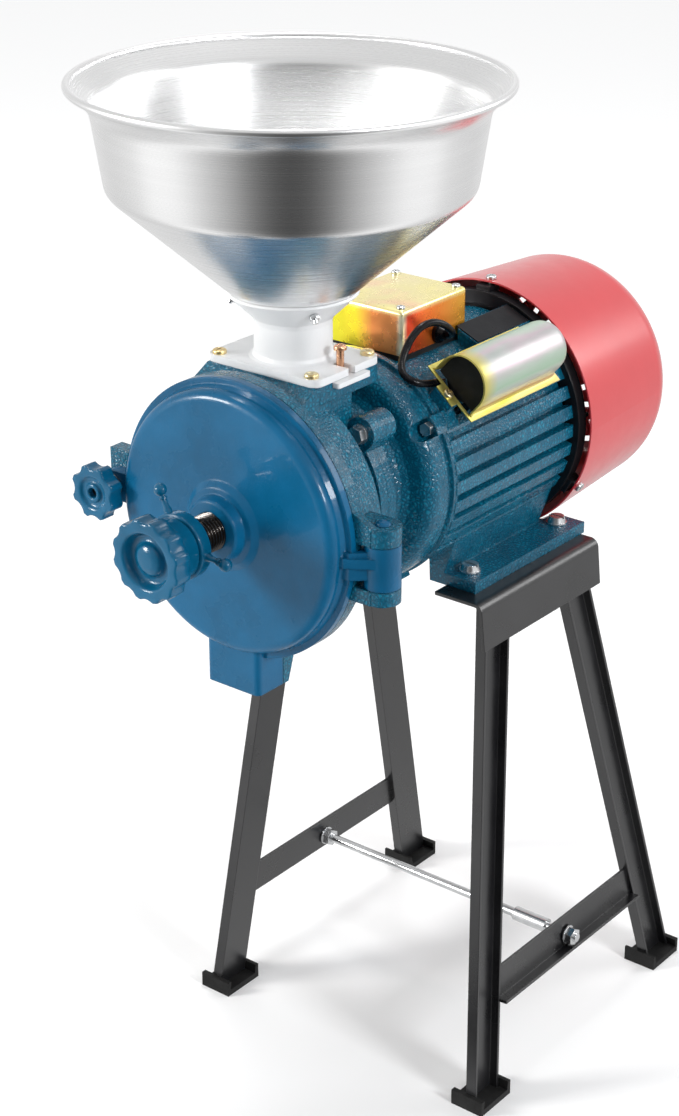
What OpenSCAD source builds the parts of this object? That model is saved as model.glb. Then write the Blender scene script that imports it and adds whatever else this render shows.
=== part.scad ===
// Electric grain mill on a welded stand: hopper, cast mill with hinged front cover, flange motor.
// X runs to the operator's right, +Y runs back along the spindle, +Z is up.
// The origin is on the floor, under the middle of the machine's length.

/* [Hopper] */
// Radius of the hopper lip at the middle of its rolled edge
lip_r = 162; // [140:1:180]
// Radius of the rolled edge's round
roll_r = 3; // [2:0.5:5]
// Outer radius at the top of the hopper body, under the flared lip
body_top_r = 147; // [125:1:160]
// Outer radius where the body meets the cone
cone_top_r = 138; // [120:1:150]
// Height of the flared lip
lip_h = 17; // [10:1:30]
// Height of the hopper body
hopper_body_h = 60; // [40:1:90]
// Slope of the hopper cone above the horizontal, in degrees
cone_slope = 41.5; // [35:0.5:50]
// Sheet thickness of the hopper
hopper_t = 1.2; // [0.8:0.1:2]
// Outer radius of the hopper spout
spout_r = 25.4; // [20:0.2:27]
// Length of the straight spout
spout_l = 10; // [5:1:20]

/* [Hopper seat] */
// Width of the seat flange across the machine
seat_w = 108; // [96:1:120]
// Depth of the seat flange along the spindle
seat_d = 79; // [72:1:90]
// Thickness of the seat flange
seat_t = 6; // [4:0.5:10]
// Outer radius of the seat neck
neck_r = 30; // [28.5:0.5:34]
// Bore radius of the seat neck
neck_bore_r = 26; // [25.6:0.1:27]
// Height of the straight neck above the flange
neck_h = 31; // [24:1:40]
// Radius of the cup that holds the cone
cup_r = 49; // [45:1:56]
// Wall thickness of the cup
cup_t = 3.5; // [2.5:0.5:5]
// Spacing of the seat screws across the machine
seat_screw_x = 90; // [78:1:96]
// Spacing of the seat screws along the spindle
seat_screw_y = 67; // [60:1:70]
// Radius on which the three hopper screws stand
cup_screw_r = 42; // [39:0.5:44]

/* [Feed gate] */
// Width of the gate plate
gate_w = 39; // [30:1:52]
// Thickness of the gate plate
gate_t = 4; // [3:0.5:6]
// How far the closed gate reaches past the throat on the blind side
gate_tail = 30; // [27:1:32]
// How far the closed gate sticks out of the seat
gate_stick = 5.5; // [2:0.5:15]
// Distance of the gate screw from the throat's middle
gate_screw_x = 43; // [38:0.5:46]
// Height of the gate screw above the gate
gate_screw_h = 18; // [12:1:40]
// Thread radius of the gate screw
gate_screw_r = 3; // [2:0.25:4]

/* [Mill body] */
// Radius of the body's front flange
flange_r = 112; // [108:0.5:120]
// Thickness of the body's front flange
flange_t = 12; // [8:1:16]
// Outer radius of the grinding chamber behind the flange
drum_r = 106; // [104:0.5:112]
// Radius of the grinding chamber
chamber_r = 98; // [90:0.5:100]
// Depth of the chamber behind the parting face
chamber_d = 34; // [32:1:36]
// Depth of the drum's outside behind the parting face
drum_d = 45; // [44:1:50]
// Distance from the parting face to the hopper axis
hopper_off = 65; // [62:1:70]
// Radius of the neck behind the chamber
body_neck_r = 58; // [50:1:64]
// Height of the seat pad above the spindle
pad_h = 107.6; // [104:0.2:114]
// Thickness of the seat pad
pad_t = 14; // [10:1:18]
// Radius of the feed throat
throat_r = 24; // [20:0.5:25]
// Radius of the feed screw's barrel
barrel_r = 27; // [26:0.5:30]
// Circle radius of the four motor flange bolts
flange_bolt_r = 88; // [84:0.5:92]
// Radius of a motor flange ear
ear_r = 13; // [11:0.5:15]
// Radius of the motor flange bolts
flange_bolt_d2 = 4; // [3:0.5:5]

/* [Front cover] */
// Distance from the parting face to the cover's flat face
cover_d = 20; // [18:0.5:26]
// Radius of the cover behind its rounded edge
cover_r = 105; // [103:0.5:110]
// Radius of the cover's rounded edge
cover_round = 8; // [4:0.5:12]
// Thickness of the cover's face
cover_t = 7; // [5:0.5:9]
// Thickness of the cover's lip
lip_t = 6; // [4:0.5:8]
// Radius of the boss around the adjusting screw
boss_r = 34; // [28:0.5:38]
// Height of the boss in front of the face
boss_h = 14; // [8:0.5:18]
// Inside width of the flour chute
chute_w = 43; // [34:1:48]
// Wall thickness of the chute
chute_t = 5; // [3:0.5:7]
// Depth of the chute's front half
chute_front_d = 29.5; // [24:0.5:32]
// Depth of the chute's rear half at its top
chute_rear_d = 18; // [12:0.5:24]
// Distance from the spindle down to the chute's mouth
chute_drop = 140; // [128:1:150]
// Gap between the cover and the body, and between the chute halves
part_gap = 0.6; // [0.4:0.1:1]

/* [Cover hinge] */
// Distance of the hinge pin from the spindle's vertical plane
hinge_x = 124.2; // [122:0.2:132]
// Distance of the hinge pin behind the parting face
hinge_back = 15.5; // [12:0.5:20]
// Outer radius of the hinge knuckles
knuckle_r = 14.3; // [12:0.1:15.5]
// Height of the cover's knuckle
knuckle_h = 34.5; // [28:0.5:44]
// Height of the upper body knuckle
upper_lug_h = 14; // [10:1:26]
// Height of the lower body knuckle
lower_lug_h = 11.5; // [8:0.5:16]
// Radius of the hinge pin
hinge_pin_r = 6; // [4:0.5:8]
// Running clearance of the cover on the hinge pin
hinge_run = 0.08; // [0.03:0.01:0.1]

/* [Cover clamp] */
// Distance of the clamp screw from the spindle's vertical plane
clamp_x = 122; // [119:0.5:130]
// Radius of the star knob over its lobes
knob_r = 22.5; // [19:0.5:23]
// Thickness of the star knob
knob_t = 13; // [10:0.5:16]
// Length of the hub behind the star knob
knob_hub_l = 8; // [4:0.5:10]
// Radius of the clamp screw
clamp_screw_r = 4; // [3:0.5:5]
// How far the clamp screw enters the body's lug
clamp_reach = 9; // [6:0.5:11]
// Thickness of the body's clamp lug
clamp_lug_t = 14; // [12:0.5:18]

/* [Adjuster] */
// Radius of the adjusting screw's thread
adjust_r = 15; // [12:0.5:18]
// Radius of the handwheel over its lobes
wheel_r = 32.5; // [28:0.5:38]
// Thickness of the handwheel's rim
wheel_t = 16; // [12:0.5:20]
// Number of finger scallops on the handwheel
wheel_lobes = 12; // [8:1:16]
// Radius of the drum behind the handwheel
drum_hub_r = 24; // [20:0.5:27]
// Length of the drum behind the handwheel
drum_hub_l = 18; // [12:0.5:24]
// Outer radius of the lock ring
ring_r = 26; // [22:0.5:30]
// Thickness of the lock ring
ring_t = 11; // [8:0.5:14]
// Distance from the spindle to the middle of a lock lever's ball
ball_reach = 44; // [38:0.5:50]
// Radius of a lock lever's ball
ball_r = 5; // [4:0.5:7]
// Length of bare thread between the lock ring and the boss
bare_thread = 28; // [20:0.5:34]

/* [Grinding discs] */
// Radius of the grinding discs
disc_r = 75; // [60:1:80]
// Radius of the hole in the grinding discs
eye_r = 27; // [25:0.5:32]
// Thickness of a grinding disc
disc_t = 10; // [7:0.5:11]
// Number of straight furrows on each disc
furrows = 24; // [12:2:30]
// Gap between the grinding faces at rest
grind_gap = 0.5; // [0.3:0.1:1]
// Thickness of the pressure plate
plate_t = 8; // [6:0.5:9]
// Radius of the guide pins in the cover
guide_r = 4; // [3:0.5:5]

/* [Feed screw and shaft] */
// Radius of the shaft in the mill
shaft_r = 12.5; // [10:0.5:14]
// Radius of the feed screw's flight
flight_r = 25; // [22:0.5:26]
// Pitch of the feed screw
flight_pitch = 30; // [20:1:40]
// Radius of the shaft in the rotor
rotor_seat_r = 20; // [17:0.5:22]

/* [Motor] */
// Height of the spindle above the motor's feet
shaft_h = 100; // [96:1:112]
// Spacing of the foot bolts across the machine
foot_gauge = 160; // [150:1:176]
// Spacing of the foot bolts along the spindle
foot_pitch = 127; // [100:1:140]
// Length of the motor feet
foot_l = 161; // [140:1:176]
// Thickness of the motor feet
foot_t = 10; // [8:0.5:14]
// Distance from the foot bolts to the outer edge of the feet
foot_edge = 17.5; // [12:0.5:22]
// Radius of the foot bolts
foot_bolt_r = 5; // [4:0.5:6]
// Length of the front end shield
shield_l = 61; // [52:1:70]
// Length of the finned housing
housing_l = 167; // [150:1:190]
// Radius of the housing's barrel
barrel_out_r = 88; // [84:0.5:92]
// Wall thickness of the housing's barrel
barrel_t = 8; // [6:0.5:10]
// Radius over the cooling fins
fin_r = 97; // [93:0.5:102]
// Thickness of a cooling fin
fin_t = 10.5; // [3:0.5:11]
// Number of fins round the whole barrel
fin_count = 36; // [24:2:40]
// Radius of the rear ring
rear_ring_r = 102.5; // [98:0.5:106]
// Thickness of the rear ring
rear_ring_t = 11; // [8:1:16]
// Radius of the fan cover at its open end
fan_cover_r = 110; // [108:0.5:118]
// Radius of the fan cover at its closed end
fan_cover_back_r = 103; // [94:0.5:108]
// Length of the fan cover
fan_cover_l = 147; // [120:1:170]
// Sheet thickness of the fan cover
fan_cover_t = 1.6; // [1:0.1:3]
// Outer radius of the ball bearings
bearing_r = 26; // [24:0.5:30]
// Width of the ball bearings
bearing_w = 15; // [12:0.5:18]
// Air gap between the rotor and the stator
air_gap = 0.5; // [0.3:0.1:1]

/* [Terminal box] */
// Width of the terminal box across the machine
box_w = 74; // [64:1:84]
// Length of the terminal box along the spindle
box_l = 87; // [76:1:94]
// Height of the terminal box lid
box_h = 37; // [28:1:46]
// Distance of the box's middle to the left of the spindle
box_left = 11; // [6:1:16]
// Sheet thickness of the lid
box_t = 1.2; // [0.8:0.1:2]

/* [Capacitor] */
// Width of the capacitor cover over its flanges
cap_w = 56; // [52:1:64]
// Length of the capacitor cover
cap_l = 121; // [100:1:130]
// Radius of the capacitor cover's arch
cap_r = 22; // [20.5:0.5:24]
// Height of the straight sides under the arch
cap_side = 13; // [8:0.5:18]
// Radius of the capacitor
capacitor_r = 19; // [16:0.5:20]
// Length of the capacitor cover's screw tabs
cap_tab = 10; // [9:0.5:12]
// Tilt of the capacitor cover from the vertical, in degrees
cap_tilt = 41; // [36:1:46]
// Radius of the lead between the box and the capacitor
lead_r = 3; // [2:0.25:3.5]

/* [Stand] */
// Height of the stand from the floor to the top of the rails
stand_h = 453; // [380:1:520]
// Length of the rails
rail_l = 172; // [166:1:200]
// Width of the rails' top flange
rail_w = 47; // [44:1:60]
// Distance of the rails' outer bend from the middle of the machine
rail_x = 115.5; // [112:0.5:124]
// Height of the rails' outer flange
rail_drop = 41; // [34:1:50]
// Sheet thickness of the rails
rail_t = 3; // [2:0.5:4]
// Outer radius of the rails' bend
rail_bend = 8; // [5:0.5:12]
// Width of the legs' web
leg_w = 34; // [28:1:40]
// Depth of the legs' flanges
leg_d = 10; // [6:0.5:14]
// Sheet thickness of the legs and crossbars
leg_t = 2.5; // [2:0.5:3]
// Outward lean of the rails' outer flange, in degrees
rail_lean = 6; // [3:0.5:9]
// Outward lean of the legs, in degrees
lean_out = 4.9; // [2:0.1:6]
// Forward lean of the front legs, in degrees
lean_front = 6.6; // [4:0.2:14]
// Backward lean of the rear legs, in degrees
lean_rear = 15.6; // [8:0.2:18]
// Height of the crossbars' web
bar_h = 31; // [24:1:38]
// Width of the crossbars' lower flange
bar_d = 12; // [8:0.5:14]
// Height of the tie rod above the floor
tie_h = 97; // [70:1:180]
// Radius of the tie rod
tie_r = 4; // [3:0.5:5]
// Height of the rubber feet
pad_foot_h = 14; // [10:1:20]
// Length of the rubber feet along the spindle
pad_foot_l = 43; // [42:1:56]
// Width of the rubber feet across the machine
pad_foot_w = 32; // [26:1:36]

/* [Hidden] */
$fn = 64;

// Clearances: a screw in its hole, a seated piece on its seat, a sliding piece in its way
hole_gap = 0.2;
seat_gap = 0.2;
slide_gap = 0.3;
run_gap = 0.05;
eps = 0.01;

// Heights
spindle_z = stand_h + shaft_h;
pad_z = spindle_z + pad_h;
seat_top = pad_z + seat_t;
neck_top = seat_top + neck_h;
cone_run = cone_top_r - spout_r;
cone_low = neck_top + seat_gap;
cone_top = cone_low + cone_run * tan(cone_slope);
body_top = cone_top + hopper_body_h;

// Stations along the spindle, from the parting face between the cover and the body
front_reach = cover_d + boss_h + bare_thread + ring_t + run_gap + drum_hub_l + wheel_t;
motor_face = drum_d + 39;
housing_front = motor_face + shield_l;
housing_back = housing_front + housing_l;
cover_start = housing_back + rear_ring_t - 3;
rear_reach = cover_start + fan_cover_l;
part_y = (front_reach - rear_reach) / 2;
face_y = part_y - cover_d;
boss_y = face_y - boss_h;
ring_y = boss_y - bare_thread - ring_t;
hub_y = ring_y - run_gap - drum_hub_l;
wheel_y = hub_y - wheel_t;
hopper_y = part_y + hopper_off;
motor_y = part_y + motor_face;
housing_y = part_y + housing_front;
rear_y = part_y + housing_back;
fan_cover_y = part_y + cover_start;

// Grinding gear
plate_y = part_y - 4;
fixed_y = plate_y + plate_t;
moving_y = fixed_y + disc_t + grind_gap;
hub_plate_y = moving_y + disc_t;
hub_plate_t = 6;
shaft_nose = moving_y + 3;
barrel_back = motor_y - 10;
column_l = 29;
screw_tip = 7;
adjust_spigot_r = adjust_r - 6;
wheel_spigot_r = adjust_r - 5;
guide_at = disc_r + 9;

// Front cover and hinge
chute_z = spindle_z - chute_drop;
chute_out = chute_w / 2 + chute_t;
chute_slope_h = chute_drop * 0.257;
chute_face = face_y + 7;
chute_split = chute_face + chute_front_d;
hinge_y = part_y + hinge_back;
knuckle_z = spindle_z - 27;
hinge_gap = 0.5;
clamp_lug_r = 13;
clamp_start = part_y - 12;
washer_t = 2;
knob_seat = clamp_start - seat_gap - washer_t;

// Motor
foot_z = stand_h;
foot_mid = motor_y + 171;
saddle_z = spindle_z + barrel_out_r - 4.5;
box_y = motor_y + 127.5;
box_z = saddle_z + 5;
cap_y = motor_y + 76;
cap_mid = 13;
cap_base = 107;
lug_tail = 15;
collar_l = 3;
collar_taper = 18;
lead_side = 4;
plate_tilt = 23;
plate_r = 99;
plate_w = 24;
plate_l = 72;
fan_lugs = [90, -30, 210];
fan_r = rear_ring_r - 30;
shield_at = [33, 147, 250, 290];

// Stand
leg_out = rail_x - rail_t - 1.2;
front_top = foot_mid - 68;
rear_top = foot_mid + 40;

// Places children at a station along the spindle, with their Z axis along the spindle
module along_spindle(y) translate([0, y, spindle_z]) rotate([-90, 0, 0]) children();

// Raises a profile drawn in X and Z along the Y axis
module along_y(y, l) translate([0, y + l, 0]) rotate([90, 0, 0]) linear_extrude(l) children();

// Turns children to an angle seen from the front, 0 to the right and 90 up
module at_angle(a) rotate([0, 0, -a]) children();

// A disc or tube round the spindle
module tube(y, l, r, bore = 0) along_spindle(y) difference() {
    cylinder(r = r, h = l);
    if (bore > 0) translate([0, 0, -eps]) cylinder(r = bore, h = l + 2 * eps);
}

// A rectangle with round corners
module rounded_rect(w, d, r) {
    square([w - 2 * r, d], center = true);
    square([w, d - 2 * r], center = true);
    for (sx = [-1, 1], sy = [-1, 1]) translate([sx * (w / 2 - r), sy * (d / 2 - r)]) circle(r);
}

// A pan-head screw standing on Z = 0 with its shank below
module pan_screw(r, l, head_r, head_h) {
    translate([0, 0, -l]) cylinder(r = r, h = l + eps);
    difference() {
        rotate_extrude() difference() {
            union() {
                square([head_r, head_h / 2]);
                square([head_r - head_h / 2, head_h]);
                intersection() {
                    translate([head_r - head_h / 2, head_h / 2]) circle(head_h / 2);
                    square([head_r + 1, head_h]);
                }
            }
        }
        for (a = [0, 90]) rotate([0, 0, a]) translate([-head_r * 0.55, -0.5, head_h * 0.55])
            cube([head_r * 1.1, 1, head_h]);
    }
}

// A hexagon standing on Z = 0, measured across its flats
module hexagon(flats, h) cylinder(r = flats / sqrt(3), h = h, $fn = 6);

// ---- Hopper and its seat ----

// Height of the hopper's outer surface on the cone at radius r
function cone_z(r) = cone_low + (r - spout_r) * tan(cone_slope);

module hopper() color("gainsboro") difference() {
    translate([0, hopper_y, 0]) rotate_extrude($fn = 96) hopper_profile();
    hopper_screw_places() translate([0, 0, -5]) cylinder(r = 1.9 + hole_gap, h = 10);
}

module hopper_profile() {
    inner_rise = hopper_t / cos(cone_slope) - hopper_t * tan(cone_slope);
    polygon([[spout_r, cone_low - spout_l], [spout_r, cone_low], [cone_top_r, cone_top],
        [body_top_r, body_top], [lip_r, body_top + lip_h], [lip_r - 1.4 * hopper_t, body_top + lip_h],
        [body_top_r - hopper_t, body_top + hopper_t / 2], [cone_top_r - hopper_t, cone_top + inner_rise],
        [spout_r - hopper_t, cone_low + inner_rise], [spout_r - hopper_t, cone_low - spout_l]]);
    translate([lip_r, body_top + lip_h]) circle(roll_r);
}

module hopper_screw_places() for (a = [-30, 90, 210]) translate([0, hopper_y, cone_z(cup_screw_r)])
    rotate([0, 0, a]) translate([cup_screw_r, 0, 0]) rotate([0, 180 - cone_slope, 0]) children();

module hopper_screws() color("silver") hopper_screw_places() {
    rotate([180, 0, 0]) translate([0, 0, hopper_t + seat_gap]) pan_screw(1.9, 10 + hopper_t, 4, 2.4);
    translate([0, 0, cup_t + 2 * seat_gap]) difference() {
        hexagon(7, 3);
        translate([0, 0, -1]) cylinder(r = 1.9 + run_gap, h = 5);
    }
}

module hopper_seat() color("whitesmoke") difference() {
    union() {
        translate([0, hopper_y, pad_z]) linear_extrude(seat_t) rounded_rect(seat_w, seat_d, 8);
        translate([0, hopper_y, 0]) rotate_extrude() seat_profile();
    }
    translate([0, hopper_y, pad_z - eps]) {
        for (sx = [-1, 1], sy = [-1, 1]) translate([sx * seat_screw_x / 2, sy * seat_screw_y / 2, 0])
            cylinder(r = 3 + hole_gap, h = seat_t + 1);
        cylinder(r = neck_bore_r, h = seat_t + 1);
        translate([gate_screw_x - gate_screw_r - 1, 3 - gate_screw_r - 0.8, 0])
            cube([seat_w, 2 * gate_screw_r + 1.6, seat_t + 1]);
    }
    hopper_screw_places() translate([0, 0, -1]) cylinder(r = 1.9 + hole_gap, h = cup_t + 4);
}

// Neck, its foot fillet and the cup that carries the cone, as radius and height
module seat_profile() {
    low = cone_low - seat_gap;
    rise = (cup_r - spout_r) * tan(cone_slope);
    drop = cup_t / cos(cone_slope);
    polygon([[neck_bore_r, seat_top - 1], [neck_bore_r, low + (neck_bore_r - spout_r) * tan(cone_slope)],
        [cup_r, low + rise], [cup_r + 1.5, low + rise - 2], [neck_r + 1, low - drop + 5],
        [neck_r, low - drop + 1], [neck_r, seat_top + 4], [neck_r + 1.2, seat_top + 1.2],
        [neck_r + 4, seat_top], [neck_r + 4, seat_top - 1]]);
}

module seat_screws() color("gold") translate([0, hopper_y, seat_top])
    for (sx = [-1, 1], sy = [-1, 1]) translate([sx * seat_screw_x / 2, sy * seat_screw_y / 2, 0])
        pan_screw(3, seat_t + 10, 5.5, 3.4);

// ---- Feed gate ----

module feed_gate() color("whitesmoke") translate([0, hopper_y, pad_z - slide_gap - gate_t]) difference() {
    l = gate_tail + seat_w / 2 + gate_stick;
    translate([l / 2 - gate_tail, 0, 0]) linear_extrude(gate_t) rounded_rect(l, gate_w, 2);
    translate([gate_screw_x, 3, -1]) cylinder(r = gate_screw_r + run_gap, h = gate_t + 2);
}

module gate_screw() color("peru") translate([gate_screw_x, hopper_y + 3, pad_z - slide_gap + gate_screw_h])
    pan_screw(gate_screw_r, gate_screw_h + gate_t, 5, 3.4);

// ---- Mill body ----

module mill_body() color("steelblue") difference() {
    union() {
        tube(part_y + part_gap, flange_t - part_gap, flange_r);
        along_spindle(part_y + flange_t) cylinder(r1 = drum_r, r2 = drum_r - 5, h = drum_d - flange_t);
        tube(part_y + drum_d - 1, motor_face - drum_d + 1, body_neck_r);
        motor_ears(motor_y - 16, 16);
        tube(motor_y - 10, 10, flange_bolt_r - 10);
        feed_pad();
        chute_rear();
        hinge_lugs();
        hinge_gusset();
        clamp_lug();
    }
    tube(part_y - 1, chamber_d + 1, chamber_r);
    tube(part_y, barrel_back - part_y, barrel_r);
    tube(part_y, motor_y - part_y + 1, shaft_r + 5);
    throat();
    gate_way();
    chute_bore();
    ear_holes(motor_y - 17, 18);
    translate([0, hopper_y, pad_z]) for (sx = [-1, 1], sy = [-1, 1])
        translate([sx * seat_screw_x / 2, sy * seat_screw_y / 2, -12]) cylinder(r = 3 + hole_gap, h = 13);
    hinge_space();
    translate([-clamp_x, part_y, spindle_z]) rotate([-90, 0, 0])
        translate([0, 0, -1]) cylinder(r = clamp_screw_r + 1, h = clamp_lug_t + 2);
}

// The four ears that take the motor flange bolts, at 45 degrees
module motor_ears(y, l) along_spindle(y) for (a = [45:90:315]) at_angle(a) {
    translate([flange_bolt_r, 0, 0]) cylinder(r = ear_r, h = l);
    translate([body_neck_r - 8, -ear_r, 0]) cube([flange_bolt_r - body_neck_r + 8, 2 * ear_r, l]);
}

module ear_holes(y, l) along_spindle(y) for (a = [45:90:315]) at_angle(a)
    translate([flange_bolt_r, 0, 0]) cylinder(r = flange_bolt_d2 + hole_gap, h = l);

// Pad for the hopper seat, the block between it and the drum, and the feed column behind it
module feed_pad() {
    half = seat_w / 2;
    translate([0, hopper_y, pad_z - pad_t]) linear_extrude(pad_t) rounded_rect(seat_w, seat_d, 8);
    translate([1 - half, 0, 0]) rotate([90, 0, 90]) linear_extrude(seat_w - 2) polygon([
        [part_y + flange_t - 1, spindle_z + drum_r * 0.7], [part_y + flange_t - 1, pad_z - 9],
        [hopper_y - seat_d / 2 + 1, pad_z - 1], [part_y + drum_d, pad_z - 1],
        [part_y + drum_d, spindle_z + drum_r * 0.7]]);
    translate([4 - half, part_y + drum_d - 1, spindle_z + body_neck_r * 0.5])
        cube([seat_w - 8, column_l, pad_h - pad_t + 1 - body_neck_r * 0.5]);
    translate([-barrel_r - 9, part_y + chamber_d + 2, spindle_z])
        cube([2 * barrel_r + 18, motor_face - chamber_d - 2, pad_h - pad_t + 1]);
}

// The throat: round at the pad, then drawn in behind the chamber and in front of the motor
module throat() intersection() {
    translate([0, hopper_y, spindle_z]) cylinder(r = throat_r, h = pad_h + 1);
    front = part_y + chamber_d + 9;
    translate([-throat_r - 1, 0, 0]) rotate([90, 0, 90]) linear_extrude(2 * throat_r + 2) polygon([
        [front, spindle_z - 1], [front, pad_z - 20], [hopper_y - throat_r - 1, pad_z - 14],
        [hopper_y - throat_r - 1, pad_z + 2], [hopper_y + throat_r + 1, pad_z + 2],
        [hopper_y + throat_r + 1, pad_z - gate_t - 1], [motor_y - 5, pad_z - pad_t],
        [barrel_back, pad_z - 40], [barrel_back, spindle_z - 1]]);
}

// The slot that the gate slides in, open to the right
module gate_way() translate([-gate_tail - 1, hopper_y - gate_w / 2 - slide_gap, pad_z - gate_t - 2 * slide_gap])
    cube([gate_tail + seat_w, gate_w + 2 * slide_gap, gate_t + 3]);

// Rear half of the flour chute: a trough whose back slopes forward
module chute_rear() {
    y0 = chute_split + part_gap;
    difference() {
        translate([-chute_out, 0, 0]) rotate([90, 0, 90]) linear_extrude(2 * chute_out) polygon([
            [y0, chute_z], [y0 + chute_rear_d * 0.35, chute_z], [y0 + chute_rear_d, chute_z + chute_slope_h],
            [y0 + chute_rear_d, spindle_z - drum_r * 0.8], [y0, spindle_z - drum_r * 0.8]]);
        tube(part_y, drum_d, chamber_r);
    }
}

// The passage from the chamber down through the chute
module chute_bore() {
    back = part_y + chamber_d - chute_t;
    translate([-chute_w / 2, 0, 0]) rotate([90, 0, 90]) linear_extrude(chute_w) polygon([
        [part_y - 1, chute_z - 1], [back - chute_rear_d * 0.65, chute_z - 1], [back, chute_z + chute_slope_h],
        [back, spindle_z - drum_r * 0.75], [part_y - 1, spindle_z - drum_r * 0.75]]);
}

// Upper and lower knuckles of the hinge, with their arms to the flange
module hinge_lugs() for (z = [[knuckle_z + knuckle_h + hinge_gap, upper_lug_h],
    [knuckle_z - hinge_gap - lower_lug_h, lower_lug_h]])
    translate([0, 0, z[0]]) difference() {
        union() {
            translate([hinge_x, hinge_y, 0]) cylinder(r = knuckle_r, h = z[1]);
            translate([chamber_r, part_y + part_gap, 0])
                cube([hinge_x - chamber_r, hinge_back + knuckle_r - part_gap, z[1]]);
        }
        translate([hinge_x, hinge_y, -1]) cylinder(r = hinge_pin_r + run_gap, h = z[1] + 2);
    }

// Gusset that runs from the flange down to the upper knuckle, in front of the pin's head
module hinge_gusset() {
    lug_top = knuckle_z + knuckle_h + hinge_gap + upper_lug_h;
    along_y(part_y + part_gap, hinge_back - hinge_pin_r - 2 - part_gap) polygon([[chamber_r, lug_top - 1],
        [hinge_x + 4, lug_top - 1], [hinge_x + 2, lug_top], [drum_r + 1, lug_top + 10], [chamber_r, lug_top + 12]]);
}

// Room for the cover's knuckle and arm between the two lugs
module hinge_space() translate([hinge_x, hinge_y, knuckle_z - hinge_gap])
    cylinder(r = knuckle_r + 1.2, h = knuckle_h + 2 * hinge_gap);

// Lug on the far side from the hinge, which the clamp screw enters
module clamp_lug() difference() {
    translate([0, 0, spindle_z]) along_y(part_y + part_gap, clamp_lug_t - part_gap) union() {
        translate([-clamp_x, 0]) circle(clamp_lug_r);
        translate([-clamp_x, -clamp_lug_r]) square([clamp_x - chamber_r, 2 * clamp_lug_r]);
        translate([-clamp_x - clamp_lug_r, 0]) square([clamp_x + clamp_lug_r - chamber_r + 8, 25]);
    }
    tube(part_y, flange_t * 2, chamber_r);
}

module flange_bolts() color("silver") along_spindle(motor_y - 16 - seat_gap) for (a = [45:90:315])
    at_angle(a) translate([flange_bolt_r, 0, 0]) {
        translate([0, 0, -1.5]) cylinder(r = 8, h = 1.5);
        translate([0, 0, -7.5]) hexagon(13, 6);
        translate([0, 0, -eps]) cylinder(r = flange_bolt_d2, h = 16 + seat_gap + 14);
    }

// ---- Front cover, its hinge pin and its clamp ----

module front_cover() color("steelblue") difference() {
    union() {
        along_spindle(face_y) rotate_extrude($fn = 96) cover_profile();
        chute_front();
        cover_knuckle();
        cover_clamp_lug();
    }
    tube(face_y + cover_t, cover_d, chamber_r);
    tube(boss_y - 1, cover_d + boss_h, adjust_r + run_gap);
    tube(boss_y + boss_h + 1, cover_t, boss_r - 8);
    chute_mouth();
    along_spindle(face_y + 2.5) for (a = [30, 150, 270]) at_angle(a)
        translate([guide_at, 0, 0]) cylinder(r = guide_r + run_gap, h = cover_t);
    translate([-clamp_x, clamp_start - 1, spindle_z]) rotate([-90, 0, 0])
        cylinder(r = clamp_screw_r + 0.3, h = 16);
}

// Dished cover with a rounded edge, a lip at the parting face and a stepped boss
module cover_profile() {
    square([cover_r - cover_round, cover_d]);
    translate([0, cover_round]) square([cover_r, cover_d - cover_round]);
    translate([cover_r - cover_round, cover_round]) circle(cover_round);
    polygon([[cover_r - 1, cover_d - lip_t - 4], [cover_r, cover_d - lip_t - 4], [cover_r + 2, cover_d - lip_t],
        [cover_r + 2, cover_d - 1], [cover_r - 1, cover_d - 1]]);
    translate([0, cover_d - lip_t]) square([flange_r, lip_t]);
    polygon([[0, 1], [boss_r + 2, 1], [boss_r + 2, 0], [boss_r - 3, -4], [boss_r - 8, -4.6],
        [boss_r - 9.5, 1.5 - boss_h], [boss_r - 11, -boss_h], [0, -boss_h]]);
}

// Front half of the flour chute, which runs back under the body's flange
module chute_front() difference() {
    union() {
        translate([-chute_out, chute_face + 5, chute_z])
            cube([2 * chute_out, chute_front_d - 5, chute_drop - chamber_r * 0.85]);
        translate([-chute_out + 5, chute_face, chute_z])
            cube([2 * chute_out - 10, 6, chute_drop - chamber_r * 0.85]);
        for (sx = [-1, 1]) translate([sx * (chute_out - 5), chute_face + 5, chute_z])
            cylinder(r = 5, h = chute_drop - chamber_r * 0.85);
    }
    along_spindle(part_y - eps) cylinder(r = flange_r + part_gap, h = chute_front_d + 2);
}

module chute_mouth() translate([-chute_w / 2, chute_face + chute_t, chute_z - 1])
    cube([chute_w, chute_front_d, chute_drop - chamber_r * 0.85]);

// Knuckle that carries the cover on the hinge pin, with a thin web and a deeper rib to it
module cover_knuckle() {
    web_h = 22;
    rib_h = 8;
    difference() {
        union() {
            translate([hinge_x, hinge_y, knuckle_z]) cylinder(r = knuckle_r, h = knuckle_h);
            translate([0, 0, knuckle_z + 8]) linear_extrude(web_h) polygon([
                [cover_r - 10, part_y - lip_t - 2], [flange_r - 1, part_y - lip_t - 2],
                [hinge_x - 3, hinge_y - knuckle_r + 0.3], [hinge_x - knuckle_r * 0.75, hinge_y - knuckle_r * 0.5],
                [flange_r + 1.5, part_y], [cover_r - 10, part_y]]);
            translate([0, 0, knuckle_z + 18]) linear_extrude(rib_h) polygon([
                [cover_r - 10, face_y + cover_round + 1], [cover_r + 3, face_y + cover_round + 1],
                [hinge_x + knuckle_r * 0.7, hinge_y - knuckle_r * 0.7],
                [hinge_x - knuckle_r * 0.75, hinge_y - knuckle_r * 0.5], [flange_r + 1.5, part_y],
                [cover_r - 10, part_y]]);
        }
        translate([hinge_x, hinge_y, knuckle_z - 1]) cylinder(r = hinge_pin_r + hinge_run, h = knuckle_h + 2);
    }
}

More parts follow.
